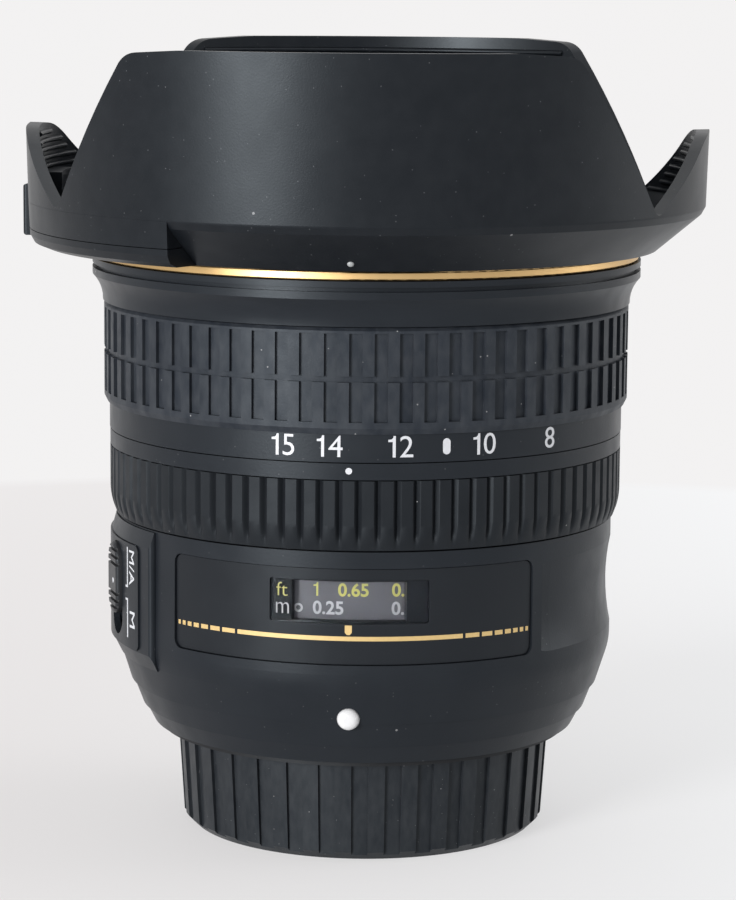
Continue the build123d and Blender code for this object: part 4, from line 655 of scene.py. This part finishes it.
class LENS_OT_metal_finish(bpy.types.Operator):
    """Finish the gold ring, the mount, its screws and contacts, and the white bead"""

    bl_idname = "lens.metal_finish"
    bl_label = "Finish Ring and Mount"

    def execute(self, context):
        look = context.scene.lens_finishes
        gold = Coat("satin_gold", look.gold_ring, 0.38, 1.0)
        gold.patches((0.55, 0.36, 0.16), 4 * MM, 0.5, 3.0)
        gold.sheen_change(0.34, 0.44, 3 * MM)
        gold.lathe_lines(0.12 * MM, 0.0012 * MM)
        dress(gold.material, "gold_trim_ring")
        steel = Coat("turned_steel", (0.66, 0.66, 0.68), 0.24, 1.0)
        steel.patches((0.56, 0.56, 0.58), 6 * MM, 0.4)
        steel.sheen_change(0.2, 0.32, 4 * MM)
        steel.lathe_lines(0.1 * MM, 0.001 * MM, rings=True)
        dress(steel.material, "bayonet_mount")
        screws = Coat("screw_steel", (0.58, 0.58, 0.60), 0.3, 1.0)
        screws.patches((0.44, 0.44, 0.46), 0.8 * MM, 0.4)
        screws.grain(0.15 * MM, 0.003 * MM)
        dress(screws.material, "mount_screws")
        contacts = Coat("contact_gold", (0.86, 0.66, 0.31), 0.18, 1.0)
        contacts.patches((0.70, 0.50, 0.22), 0.5 * MM, 0.5)
        contacts.grain(0.1 * MM, 0.002 * MM)
        dress(contacts.material, "contact_pins")
        bead = Coat("white_bead", (0.58, 0.58, 0.59), 0.25, Coat_Weight=0.25)
        bead.patches((0.62, 0.62, 0.63), 0.9 * MM, 0.4)
        bead.grain(0.25 * MM, 0.003 * MM)
        dress(bead.material, "mount_index_bead")
        return {"FINISHED"}


class LENS_OT_glass_finish(bpy.types.Operator):
    """Make the elements coated glass and the window clear"""

    bl_idname = "lens.glass_finish"
    bl_label = "Finish Glass"

    def execute(self, context):
        front = Coat(
            "front_glass", (0.97, 0.985, 0.98), 0.0, Transmission_Weight=1.0, IOR=1.62,
            Specular_Tint=(0.62, 0.9, 0.7, 1),
        )
        front.patches((0.94, 0.975, 0.96), 12 * MM, 0.4)
        front.grain(9 * MM, 0.0005 * MM)
        dress(front.material, "front_element")
        inner = Coat(
            "inner_glass", (0.96, 0.97, 0.985), 0.0, Transmission_Weight=1.0, IOR=1.55,
            Specular_Tint=(0.78, 0.62, 0.95, 1),
        )
        inner.patches((0.92, 0.95, 0.98), 9 * MM, 0.4)
        dress(inner.material, "front_group_glass", "rear_group_glass", "focus_group_glass")
        # The low index keeps the masks behind the window dark.
        window = Coat(
            "clear_window", (0.95, 0.955, 0.96), 0.03, Transmission_Weight=1.0, IOR=1.04
        )
        window.patches((0.9, 0.91, 0.92), 4 * MM, 0.4)
        window.grain(1.2 * MM, 0.001 * MM)
        dress(window.material, "scale_window")
        return {"FINISHED"}


class LENS_OT_mechanism_finish(bpy.types.Operator):
    """Finish what lies inside: barrels, cams, cells, motor, board and iris"""

    bl_idname = "lens.mechanism_finish"
    bl_label = "Finish Mechanism"

    def execute(self, context):
        black = Coat("black_anodising", (0.020, 0.020, 0.021), 0.45, 0.35)
        black.patches((0.034, 0.034, 0.036), 6 * MM, 0.5)
        black.sheen_change(0.38, 0.55, 4 * MM)
        black.lathe_lines(0.16 * MM, 0.002 * MM)
        dress(
            black.material, "fixed_barrel", "guide_barrel", "front_group_cell",
            "front_retaining_ring", "rear_group_cell", "focus_group_cell",
            "iris_base", "iris_ring",
        )
        alloy = Coat("machined_alloy", (0.42, 0.42, 0.43), 0.32, 1.0)
        alloy.patches((0.34, 0.34, 0.35), 8 * MM, 0.5)
        alloy.sheen_change(0.26, 0.4, 3 * MM)
        alloy.lathe_lines(0.12 * MM, 0.002 * MM)
        dress(
            alloy.material,
            "cam_barrel", "cam_retaining_ring", "focus_cam_ring", "zoom_key", "focus_key",
        )
        brass = Coat("turned_brass", (0.72, 0.55, 0.28), 0.28, 1.0)
        brass.patches((0.60, 0.43, 0.2), 1.2 * MM, 0.5)
        brass.grain(0.12 * MM, 0.002 * MM)
        dress(brass.material, "front_group_pins", "rear_group_pins", "focus_group_pins")
        motor = Coat("motor_metal", (0.46, 0.46, 0.48), 0.34, 1.0)
        motor.patches((0.36, 0.35, 0.34), 3 * MM, 0.5)
        motor.lathe_lines(0.2 * MM, 0.002 * MM, rings=True)
        dress(motor.material, "motor_stator", "motor_rotor", "iris_motor")
        spring = Coat("spring_steel", (0.55, 0.55, 0.57), 0.26, 1.0)
        spring.patches((0.42, 0.42, 0.45), 0.6 * MM, 0.5)
        spring.grain(0.1 * MM, 0.001 * MM)
        dress(spring.material, "switch_spring", "hood_lock_spring")
        board = Coat("green_board", (0.020, 0.12, 0.045), 0.35)
        board.patches((0.05, 0.22, 0.09), 1.1 * MM, 0.9, 0.0)
        board.specks((0.6, 0.58, 0.5), 1.3 * MM, 0.3, 0.22)
        board.grain(0.8 * MM, 0.01 * MM)
        dress(board.material, "circuit_board")
        moulded = Coat("inner_moulding", (0.019, 0.019, 0.020), 0.55)
        moulded.patches((0.03, 0.03, 0.032), 3 * MM, 0.5)
        moulded.grain(0.25 * MM, 0.006 * MM)
        dress(moulded.material, "contact_block", "rear_baffle")
        blade = Coat("iris_black", (0.014, 0.014, 0.015), 0.5, 0.4)
        blade.patches((0.026, 0.026, 0.027), 2.5 * MM, 0.6)
        blade.grain(0.2 * MM, 0.002 * MM, 2.0, (1, 4, 1))
        dress(blade.material, *[f"iris_blade_{n}" for n in range(1, 8)])
        look = context.scene.lens_finishes
        drum = Coat("drum_grey", look.drum_paint, 0.42, Specular_IOR_Level=0.4)
        drum.patches((0.125, 0.13, 0.145), 4 * MM, 0.5)
        drum.grain(0.2 * MM, 0.004 * MM)
        dress(drum.material, "distance_scale")
        return {"FINISHED"}


def ink(name, tone, metallic=0.0):
    """Printing ink, slightly uneven."""
    found = bpy.data.materials.get(name)
    if found:
        return found
    coat = Coat(name, tone, 0.45, metallic)
    coat.patches(tuple(0.86 * part for part in tone), 0.5 * MM, 0.5)
    coat.grain(0.12 * MM, 0.003 * MM)
    return coat.material


# Words and their angles round the barrel, in degrees to the right of the front.
ZOOM_NUMBERS = (("15", -14.0), ("14", -4.0), ("12", 10.8), ("10", 29.2), ("8", 46.4))
PILL_DEGREES = 20.6
PILL_WIDTH = 1.05 * MM
PILL_HEIGHT = 2.15 * MM
PILL_DROP = 0.1 * MM
ZOOM_LEVEL = 59.3 * MM
INDEX_LEVEL = 56.0 * MM


class LENS_OT_zoom_marks(bpy.types.Operator):
    """Print the focal length numbers and the index ring's dot"""

    bl_idname = "lens.zoom_marks"
    bl_label = "Print Zoom Marks"

    def execute(self, context):
        marks = context.scene.lens_marks
        white = ink("white_ink", context.scene.lens_finishes.white_print)
        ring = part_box("zoom_ring")[1].x
        numbers = [
            wrap(lettering(words, marks.zoom_digit, marks.print_depth), ring, degrees, ZOOM_LEVEL)
            for words, degrees in ZOOM_NUMBERS
        ]
        pill = dot("pill", PILL_WIDTH, PILL_HEIGHT, marks.print_depth)
        numbers.append(wrap(pill, ring, PILL_DEGREES, ZOOM_LEVEL - PILL_DROP))
        numbers = joined("zoom_numbers", numbers)
        as_piece("zoom_numbers", numbers, white, "zoom_drive")
        index = dot("index_dot", marks.dot_width, marks.dot_width, marks.print_depth)
        wrap(index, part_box("index_ring")[1].x, 0, INDEX_LEVEL)
        as_piece("index_dot", index, white, "lens_barrel")
        return {"FINISHED"}


# Where the dot sits on the hood's foot, its radius and how far it stands off the wall.
HOOD_DOT_SIDE = 0.45 * MM
HOOD_DOT_LEVEL = 83.95 * MM
HOOD_DOT_RADIUS = 0.46 * MM
HOOD_DOT_RISE = 0.36 * MM


class LENS_OT_hood_dot(bpy.types.Operator):
    """Set the white alignment dot on the hood's foot"""

    bl_idname = "lens.hood_dot"
    bl_label = "Set Hood Dot"

    def execute(self, context):
        before = Vector((HOOD_DOT_SIDE, -OUTSIDE, HOOD_DOT_LEVEL))
        spot, normal, _, _ = skin_of("hood_shell").ray_cast(before, Vector((0, 1, 0)))
        if spot is None:
            raise RuntimeError("no hood surface in front of the dot")
        if normal.y > 0:
            normal = -normal
        shape = bmesh.new()
        bmesh.ops.create_uvsphere(shape, u_segments=28, v_segments=14, radius=1.0)
        shape.transform(
            Matrix.Translation(spot)
            @ normal.to_track_quat("Z", "Y").to_matrix().to_4x4()
            @ Matrix.Diagonal((HOOD_DOT_RADIUS, HOOD_DOT_RADIUS, HOOD_DOT_RISE, 1))
        )
        mesh = to_mesh(shape, "hood_dot")
        mesh.shade_smooth()
        white = ink("hood_dot_ink", context.scene.lens_finishes.hood_dot)
        as_piece("hood_dot", mesh, white, "hood")
        return {"FINISHED"}


FEET_NUMBERS = (("1", -7.9), ("0.65", 0.9), ("0.5", 12.4), ("0.4", 24.5))
METRE_NUMBERS = (("0.25", -5.0), ("0.2", 12.4), ("0.16", 25.5))
INFINITY_DEGREES = -13.0
INFINITY_DROP = 0.15 * MM
# Each scale's name, its level in millimetres and its numbers; then its unit, the unit's
# angle and lift in millimetres, and its height and width over the height of a digit.
SCALES = (
    ("feet", 39.4, FEET_NUMBERS, "ft", -14.9, 0.15, 1.0, 0.85),
    ("metre", 36.9, METRE_NUMBERS, "m", -14.8, 0.1, 0.8, 0.98),
)
DRUM_RADIUS = 32.95 * MM
WINDOW_RADIUS = 34.93 * MM
BOLD, FINE = 0.022, -0.012


class LENS_OT_distance_marks(bpy.types.Operator):
    """Print the feet and metre numbers on the drum, and the units beside the window"""

    bl_idname = "lens.distance_marks"
    bl_label = "Print Distance Scale"

    def execute(self, context):
        look, marks = context.scene.lens_finishes, context.scene.lens_marks
        size, depth = marks.scale_digit, marks.print_depth
        for name, level, numbers, unit, unit_degrees, lift, tall, wide in SCALES:
            feet = name == "feet"
            tone = look.feet_print if feet else look.white_print
            drawn = [
                wrap(lettering(words, size, depth, BOLD), DRUM_RADIUS, degrees, level * MM)
                for words, degrees in numbers
            ]
            if not feet:
                drawn += self.infinity(depth, INFINITY_DEGREES, level * MM - INFINITY_DROP)
            bright = ink(f"{name}_ink", tone)
            as_piece(f"{name}_numbers", joined(name, drawn), bright, "focus_drive")
            letters = lettering(unit, tall * size, depth, FINE, wide * size)
            wrap(letters, WINDOW_RADIUS, unit_degrees, (level + lift) * MM)
            dimmed = ink(f"{name}_unit_ink", tuple(look.unit_share * part for part in tone))
            as_piece(f"{name}_unit", letters, dimmed, "lens_barrel")
        return {"FINISHED"}

    def infinity(self, depth, degrees, level):
        """The sign for the far end: two rings side by side."""
        inner, outer, steps = 0.33 * MM, 0.62 * MM, 24
        turns = [TURN * n / steps for n in range(steps)]
        corners = ((outer, depth), (inner, depth), (inner, -depth), (outer, -depth))
        made = []
        aside = 0.86 * outer
        for middle in (-aside, aside):
            ring = loft("ring", [
                [(middle + radius * math.cos(turn), radius * math.sin(turn), z) for turn in turns]
                for radius, z in corners
            ], around=True)
            made.append(wrap(ring, DRUM_RADIUS, degrees, level))
        return made


def dash_tree():
    """Dashes that shrink along a barrel, first to last."""
    tree, inputs, found = new_tree("shrinking_dashes", {
        "Int": ["Count"],
        "Float": [
            "First Length", "Shrink", "Gap", "Start", "Side", "Height", "Depth", "Level", "Radius",
        ],
        "Material": ["Ink"],
    })
    add = partial(put, tree)
    math_node, plus, less, times, over = arithmetic(tree)
    number = add("GeometryNodeInputIndex").outputs[0]
    power = math_node("POWER", inputs["Shrink"], number)
    run = over(less(1.0, power), less(1.0, inputs["Shrink"]))
    dash = times(inputs["First Length"], power)
    reach = plus(times(inputs["First Length"], run), times(inputs["Gap"], number))
    middle = plus(plus(inputs["Start"], reach), times(dash, 0.5))
    place = add("ShaderNodeCombineXYZ", times(middle, inputs["Side"]))
    points = add("GeometryNodePoints", Count=inputs["Count"], Position=place.outputs[0])
    size = add("ShaderNodeCombineXYZ", dash, inputs["Height"], inputs["Depth"])
    copies = add(
        "GeometryNodeInstanceOnPoints", Points=points.outputs[0],
        Instance=add("GeometryNodeMeshCube").outputs["Mesh"], Scale=size.outputs[0],
    )
    real = add("GeometryNodeRealizeInstances", copies.outputs[0])
    x, y, z = position(tree)
    turn = over(x, inputs["Radius"])
    out = plus(inputs["Radius"], z)
    bent = add(
        "ShaderNodeCombineXYZ", times(out, math_node("SINE", turn)),
        times(times(out, math_node("COSINE", turn)), -1.0), plus(y, inputs["Level"]),
    )
    bend = add("GeometryNodeSetPosition", Geometry=real.outputs[0], Position=bent.outputs[0])
    end_tree(tree, bend.outputs[0], inputs["Ink"])
    return tree, found


PLATE_RADIUS = 34.95 * MM
PLATE_LEVEL = 33.15 * MM
LINE_STEPS = 36
POINTER_RISE = 1.2 * MM
# The outline of the pointer over the gold line, in millimetres.
POINTER = ((-0.47, -0.35), (-0.2, -0.68), (0.2, -0.68), (0.47, -0.35), (0.47, 0.62), (-0.47, 0.62))


class LENS_OT_nameplate_trim(bpy.types.Operator):
    """Print the gold line, its dashes and the focus mark on the nameplate"""

    bl_idname = "lens.nameplate_trim"
    bl_label = "Print Nameplate Trim"

    def execute(self, context):
        marks = context.scene.lens_marks
        tall, depth = marks.line_height, marks.print_depth
        half = marks.line_half * PLATE_RADIUS
        gold = ink("gold_ink", context.scene.lens_finishes.gold_print, 0.25)
        line = bar("line", 2 * half, tall, depth, LINE_STEPS)
        parts = [wrap(line, PLATE_RADIUS, 0, PLATE_LEVEL)]
        tree, found = dash_tree()
        for side in (-1.0, 1.0):
            parts.append(grow("dashes", bpy.data.meshes.new("dashes"), tree, found, {
                "Count": marks.dash_count, "First Length": marks.dash_length,
                "Shrink": marks.dash_shrink, "Gap": marks.dash_gap,
                "Start": half + marks.dash_gap, "Side": side,
                "Height": tall, "Depth": 2 * depth,
                "Level": PLATE_LEVEL, "Radius": PLATE_RADIUS, "Ink": gold,
            }))
        pointer = plate("pointer", [(x * MM, y * MM) for x, y in POINTER], depth)
        parts.append(wrap(pointer, PLATE_RADIUS, 0, PLATE_LEVEL + POINTER_RISE))
        trim = joined("nameplate_trim", parts)
        as_piece("nameplate_trim", trim, gold, "lens_barrel")
        return {"FINISHED"}


SWITCH_RADIUS = 36.35 * MM
STROKE = 0.3 * MM
TICK_LENGTH = 0.75 * MM
LINE_DEGREES = -61.5
TICK_DEGREES = -62.0
# Words, angle in degrees, level and width in millimetres.
SWITCH_WORDS = (("M/A", -59.1, 39.05, 4.9), ("M", -58.9, 31.75, 2.3))
# Lower end, upper end and the tick's level of each bracket line, in millimetres.
SWITCH_LINES = ((36.1, 41.8, 36.25), (29.0, 34.55, 34.4))
SLIDER_DOT = 0.75 * MM
SLIDER_RADIUS = 37.1 * MM
SLIDER_DEGREES = -68.2
SLIDER_LEVEL = 36.4 * MM


class LENS_OT_switch_marks(bpy.types.Operator):
    """Print the legends beside the mode switch and the dot on its slider"""

    bl_idname = "lens.switch_marks"
    bl_label = "Print Switch Marks"

    def execute(self, context):
        marks = context.scene.lens_marks
        white = ink("white_ink", context.scene.lens_finishes.white_print)
        depth = marks.print_depth
        parts = []
        for words, degrees, level, wide in SWITCH_WORDS:
            drawn = lettering(words, marks.switch_letter, depth, 0.0, wide * MM)
            parts.append(wrap(drawn, SWITCH_RADIUS, degrees, level * MM, turned=True))
        for low, high, tick_level in SWITCH_LINES:
            line = bar("line", STROKE, (high - low) * MM, depth)
            parts.append(wrap(line, SWITCH_RADIUS, LINE_DEGREES, (low + high) / 2 * MM))
            tick = bar("tick", TICK_LENGTH, STROKE, depth)
            parts.append(wrap(tick, SWITCH_RADIUS, TICK_DEGREES, tick_level * MM))
        legends = joined("switch_legends", parts)
        as_piece("switch_legends", legends, white, "lens_barrel")
        spot = dot("slider_dot", SLIDER_DOT, SLIDER_DOT, depth)
        wrap(spot, SLIDER_RADIUS, SLIDER_DEGREES, SLIDER_LEVEL)
        as_piece("slider_dot", spot, white, "mode_switch")
        return {"FINISHED"}


def ribbed_band_tree():
    """Rounded grooves round a band, which run out towards its lower edge."""
    tree, inputs, found = new_tree("ribbed_band", {
        "Float": ["Ribs", "Half Width", "Depth", "Low", "Run Out", "Radius", "Wall"],
        "Material": ["Finish"],
    })
    math_node, plus, less, times, over = arithmetic(tree)
    x, y, z = position(tree)
    turns = over(math_node("ARCTAN2", x, times(y, -1.0)), TURN)
    part = math_node("FRACT", times(plus(turns, 1.0), inputs["Ribs"]))
    pitch = over(times(inputs["Radius"], TURN), inputs["Ribs"])
    away = times(math_node("ABSOLUTE", less(part, 0.5)), pitch)
    near = math_node("MINIMUM", over(away, inputs["Half Width"]), 1.0)
    groove = times(plus(math_node("COSINE", times(near, math.pi)), 1.0), 0.5)
    rise = over(less(z, inputs["Low"]), inputs["Run Out"])
    rise = math_node("MINIMUM", math_node("MAXIMUM", rise, 0.0), 1.0)
    depth = times(times(groove, rise), inputs["Depth"])
    out = math_node("SQRT", plus(times(x, x), times(y, y)))
    scale = over(times(depth, -1.0), out)
    push = put(tree, "ShaderNodeCombineXYZ", times(x, scale), times(y, scale))
    move = put(
        tree, "GeometryNodeSetPosition", Geometry=inputs["Geometry"],
        Selection=math_node("GREATER_THAN", out, inputs["Wall"]), Offset=push.outputs[0],
    )
    end_tree(tree, move.outputs[0], inputs["Finish"])
    return tree, found


# The grip's plain strip under its grooves, and the angle that keeps an edge sharp.
PLAIN_FOOT = 0.3 * MM
SHARP_ANGLE = math.radians(40)


class LENS_OT_focus_grip(bpy.types.Operator):
    """Mould the focus grip's rubber with soft ribs"""

    bl_idname = "lens.focus_grip"
    bl_label = "Mould Focus Grip"

    def execute(self, context):
        ribs = context.scene.focus_ribs
        low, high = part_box("focus_grip")
        pitch = TURN / ribs.count
        half = ribs.groove_half / high.x
        profile = self.profile(low.z, high.z, on_barrel(1, pitch / 2, 0))
        # Seven lines across each groove, centred half a pitch round, and one between grooves.
        azimuths = [
            (n + 0.5) * pitch + across * half
            for n in range(ribs.count)
            for across in (-1.0, -0.68, -0.34, 0.0, 0.34, 0.68, 1.0, pitch / 2 / half)
        ]
        loops = [(outer, level) for level, inner, outer in profile]
        loops += [(inner, level) for level, inner, outer in (profile[-1], profile[0])]
        mesh = loft("focus_rubber", [
            [on_barrel(radius, azimuth, level) for azimuth in azimuths] for radius, level in loops
        ], around=True)
        rubber = nodes["focus_grip"].material_slots[0].material
        thinnest = min(outer for level, inner, outer in profile)
        tree, found = ribbed_band_tree()
        made = closed(grow("focus_rubber", mesh, tree, found, {
            "Ribs": float(ribs.count), "Half Width": ribs.groove_half, "Depth": ribs.depth,
            "Low": low.z + PLAIN_FOOT, "Run Out": ribs.run_out, "Radius": high.x,
            "Wall": (thinnest + profile[0][1]) / 2, "Finish": rubber,
        }))
        made.shade_smooth()
        made.set_sharp_from_angle(angle=SHARP_ANGLE)
        piece = as_piece("focus_rubber", made, rubber, "focus_drive")
        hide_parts("focus_grip")
        return {"FINISHED"}

    def profile(self, low, high, outwards):
        """Level, inner radius and outer radius of the CAD grip, from its foot to its top."""
        wall = skin_of("focus_grip")
        steps, edge = 16, 0.002
        rows = []
        for n in range(steps + 1):
            inside = Vector((0, 0, low + (high - low) * min(max(n / steps, edge), 1 - edge)))
            inner = wall.ray_cast(inside, outwards)[3]
            gap = wall.ray_cast(inside + outwards * OUTSIDE, -outwards)[3]
            if inner is None or gap is None:
                raise RuntimeError("the focus grip's wall was not found")
            rows.append((low + (high - low) * n / steps, inner, OUTSIDE - gap))
        return rows


def rib_tree():
    """A ridge along each guide line, half of it sunk in the wall."""
    tree, inputs, found = new_tree("wall_ribs", {"Float": ["Rib Height"], "Material": ["Finish"]})
    paths = put(tree, "GeometryNodeMeshToCurve", inputs["Geometry"])
    level = put(tree, "GeometryNodeSetCurveNormal", paths.outputs["Curve"], mode="Z_UP")
    diamond = put(
        tree, "GeometryNodeCurvePrimitiveCircle", Resolution=4, Radius=inputs["Rib Height"]
    )
    sweep = put(
        tree, "GeometryNodeCurveToMesh", Curve=level.outputs["Curve"],
        Profile_Curve=diamond.outputs["Curve"], Fill_Caps=True,
    )
    end_tree(tree, sweep.outputs["Mesh"], inputs["Finish"])
    return tree, found


class LENS_OT_hood_ribs(bpy.types.Operator):
    """Line the hood's petals with fine ribs"""

    bl_idname = "lens.hood_ribs"
    bl_label = "Add Hood Ribs"

    def execute(self, context):
        ribs = context.scene.hood_ribs
        wall = skin_of("hood_shell")
        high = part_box("hood_shell")[1]
        # The inner wall lies between these radii.
        nearest, farthest = high.x - 4 * MM, high.x - 0.6 * MM

        def wall_at(azimuth, level):
            """Radius of the inner wall there, or None where the petal is cut away."""
            radius = wall.ray_cast(Vector((0, 0, level)), on_barrel(1, azimuth, 0))[3]
            return radius if radius and nearest < radius < farthest else None

        steps = 180
        aside = ribs.margin / high.x
        shape = bmesh.new()
        level = ribs.lowest
        while level < high.z:
            ring = []
            for n in range(steps):
                azimuth = TURN * n / steps
                radius = wall_at(azimuth, level)
                inside = radius and all((
                    wall_at(azimuth + aside, level), wall_at(azimuth - aside, level),
                    wall_at(azimuth, level + ribs.margin),
                ))
                point = on_barrel(radius, azimuth, level) if inside else None
                ring.append(shape.verts.new(point) if inside else None)
            for n in range(steps):
                if ring[n - 1] and ring[n]:
                    shape.edges.new((ring[n - 1], ring[n]))
            level += ribs.pitch
        loose = [v for v in shape.verts if not v.link_edges]
        bmesh.ops.delete(shape, geom=loose, context="VERTS")
        guides = to_mesh(shape, "rib_guides")
        if not guides.edges:
            raise RuntimeError("no wall was found for the hood's ribs")
        plastic = hood_plastic(context.scene.lens_finishes)
        values = {"Rib Height": ribs.height, "Finish": plastic}
        made = closed(grow("hood_ribs", guides, *rib_tree(), values))
        as_piece("hood_ribs", made, plastic, "hood")
        return {"FINISHED"}


class LENS_OT_lock_spring(bpy.types.Operator):
    """Give the hood lock's spring its own mesh, riding on the hood"""

    bl_idname = "lens.lock_spring"
    bl_label = "Fit Lock Spring"

    def execute(self, context):
        solid = nodes["hood_lock_spring"]
        steel = solid.material_slots[0].material
        piece = as_piece("lock_spring", closed(solid.data.copy()), steel, "hood")
        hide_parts("hood_lock_spring")
        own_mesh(piece)
        return {"FINISHED"}


# Each lamp's name, the setting of its power, its side, its place and what it points at.
LAMPS = (
    ("window_lamp", "window_power", 0.42, (-0.66, -1.0, 0.235), (0, 0, 0.12)),
    ("ceiling_lamp", "ceiling_power", 1.3, (0.1, 0.25, 1.25), (0, 0, 0)),
    ("side_lamp", "side_power", 0.7, (1.2, 0.25, 0.4), (0, 0, 0.02)),
)


# The table's radius and how far it lies under the lens; the stretch over which its painted
# shade on the left turns to painted light on the right; the blur round its near part, and
# where the shadow fades.
TABLE_RADIUS = 6.0
TABLE_DROP = 0.02 * MM
PAINTED_SHADE_X, PAINTED_LIGHT_X = -0.06, 0.07
EDGE_BLUR = 0.006
SHADOW_REACH = 0.12


class LENS_OT_stage(bpy.types.Operator):
    """Lay the pale table, hang the lamps and set the camera"""

    bl_idname = "lens.stage"
    bl_label = "Set Stage"

    def execute(self, context):
        stage = context.scene.lens_stage
        self.table(stage)
        self.room(context, stage)
        for name, power, side, place, aim in LAMPS:
            self.lamp(name, getattr(stage, power), side, Vector(place), Vector(aim))
        self.camera(context, stage)
        return {"FINISHED"}

    def table(self, stage):
        """A wide round table top; far from the lens it turns into the backdrop's tone."""
        shape = bmesh.new()
        bmesh.ops.create_circle(shape, cap_ends=True, radius=TABLE_RADIUS, segments=96)
        bmesh.ops.translate(shape, vec=(0, 0, -TABLE_DROP), verts=shape.verts)
        coat = Coat("table_top", stage.table_painted_shade_left, 0.55, Specular_IOR_Level=0.1)
        reach = coat.put("ShaderNodeVectorMath", coat.place, operation="LENGTH").outputs["Value"]
        across = coat.put("ShaderNodeSeparateXYZ", coat.place).outputs["X"]
        # Painted shade and light: the near table turns from the darker left tone to the paler right
        # one.
        coat.mix(coat.spread(across, 0, 1, PAINTED_SHADE_X, PAINTED_LIGHT_X), stage.table_painted_light_right)
        edge = stage.table_reach
        far = coat.spread(reach, 0, 1, edge - EDGE_BLUR, edge + EDGE_BLUR)
        coat.mix(far, stage.backdrop_colour)
        # The camera sees part of the table glow, and all of it beyond the near part, so it
        # keeps the lens's shadow and still meets the backdrop with no dark edge.
        glow = coat.put("ShaderNodeEmission", Color=coat.tint)
        part = coat.put(
            "ShaderNodeMath", coat.spread(reach, 1 - stage.shadow_share, 1, SHADOW_REACH, edge),
            self.seen(coat.tree), operation="MULTIPLY",
        )
        blend = coat.put(
            "ShaderNodeMixShader", part.outputs[0], coat.shader.outputs[0], glow.outputs[0]
        )
        output = coat.tree.nodes["Material Output"]
        feed(coat.tree, output.inputs["Surface"], blend.outputs[0])
        table = bpy.data.objects.new("table_top", to_mesh(shape, "table_top"))
        table.data.materials.append(coat.material)
        bpy.context.scene.collection.objects.link(table)

    def seen(self, tree):
        """1 for what the camera sees, straight or through gloss and glass."""
        path = put(tree, "ShaderNodeLightPath").outputs
        value = path["Is Camera Ray"]
        for name in ("Is Glossy Ray", "Is Transmission Ray"):
            value = put(tree, "ShaderNodeMath", value, path[name], operation="MAXIMUM").outputs[0]
        return value

    def room(self, context, stage):
        """Even light from all round, white where the camera looks past the table."""
        world = bpy.data.worlds.new("room")
        world.use_nodes = True
        context.scene.world = world
        tree = world.node_tree
        light = tree.nodes["Background"]
        light.inputs["Color"].default_value = (1.0, 0.99, 0.98, 1)
        light.inputs["Strength"].default_value = stage.room_light
        white = put(tree, "ShaderNodeBackground", (*stage.backdrop_colour, 1))
        blend = put(
            tree, "ShaderNodeMixShader", self.seen(tree), light.outputs[0], white.outputs[0]
        )
        feed(tree, tree.nodes["World Output"].inputs["Surface"], blend.outputs[0])

    def lamp(self, name, power, side, place, aim):
        """A large soft lamp."""
        light = bpy.data.lights.new(name, "AREA")
        light.size = side
        light.energy = power
        lamp = bpy.data.objects.new(name, light)
        lamp.location = place
        lamp.rotation_euler = (aim - place).to_track_quat("-Z", "Y").to_euler()
        bpy.context.scene.collection.objects.link(lamp)

    def camera(self, context, stage):
        """The camera at the photograph's angle, for a frame of 736 by 900."""
        lens = bpy.data.cameras.new("camera")
        lens.lens = stage.camera_lens
        lens.clip_start, lens.clip_end = 0.01, 50.0
        camera = bpy.data.objects.new("camera", lens)
        camera.matrix_world = (
            Matrix.Rotation(stage.camera_azimuth, 4, "Z")
            @ Matrix.Translation((stage.camera_offset, -stage.camera_distance, stage.camera_height))
            @ Matrix.Rotation(math.pi / 2 - stage.camera_pitch, 4, "X")
            @ Matrix.Rotation(stage.camera_roll, 4, "Z")
        )
        context.scene.collection.objects.link(camera)
        context.scene.camera = camera
        context.scene.view_settings.view_transform = "Standard"


class LENS_PT_sidebar(bpy.types.Panel):
    """Sizes, colours and steps of the lens"""

    bl_idname = "LENS_PT_sidebar"
    bl_label = "Fisheye Zoom Lens"
    bl_space_type = "VIEW_3D"
    bl_region_type = "UI"
    bl_category = "Lens"

    def draw(self, context):
        for name, group in SETTINGS:
            box = self.layout.box()
            box.label(text=group.__doc__)
            for field in group.__annotations__:
                box.prop(getattr(context.scene, name), field)
        for operator in STEPS:
            self.layout.operator(operator.bl_idname)


STEPS = (
    LENS_OT_stage,
    LENS_OT_barrel_finish,
    LENS_OT_rubber_finish,
    LENS_OT_hood_finish,
    LENS_OT_cap_finish,
    LENS_OT_metal_finish,
    LENS_OT_glass_finish,
    LENS_OT_mechanism_finish,
    LENS_OT_zoom_marks,
    LENS_OT_hood_dot,
    LENS_OT_distance_marks,
    LENS_OT_nameplate_trim,
    LENS_OT_switch_marks,
    LENS_OT_focus_grip,
    LENS_OT_hood_ribs,
    LENS_OT_lock_spring,
)


def register():
    for name, group in SETTINGS:
        bpy.utils.register_class(group)
        setattr(bpy.types.Scene, name, PointerProperty(type=group))
    for step in STEPS:
        bpy.utils.register_class(step)
    bpy.utils.register_class(LENS_PT_sidebar)


def unregister():
    bpy.utils.unregister_class(LENS_PT_sidebar)
    for step in reversed(STEPS):
        bpy.utils.unregister_class(step)
    for name, group in reversed(SETTINGS):
        delattr(bpy.types.Scene, name)
        bpy.utils.unregister_class(group)


def main():
    """Registers the classes and runs every step in order."""
    register()
    for step in STEPS:
        section, name = step.bl_idname.split(".")
        getattr(getattr(bpy.ops, section), name)()


if __name__ == "__main__":
    main()
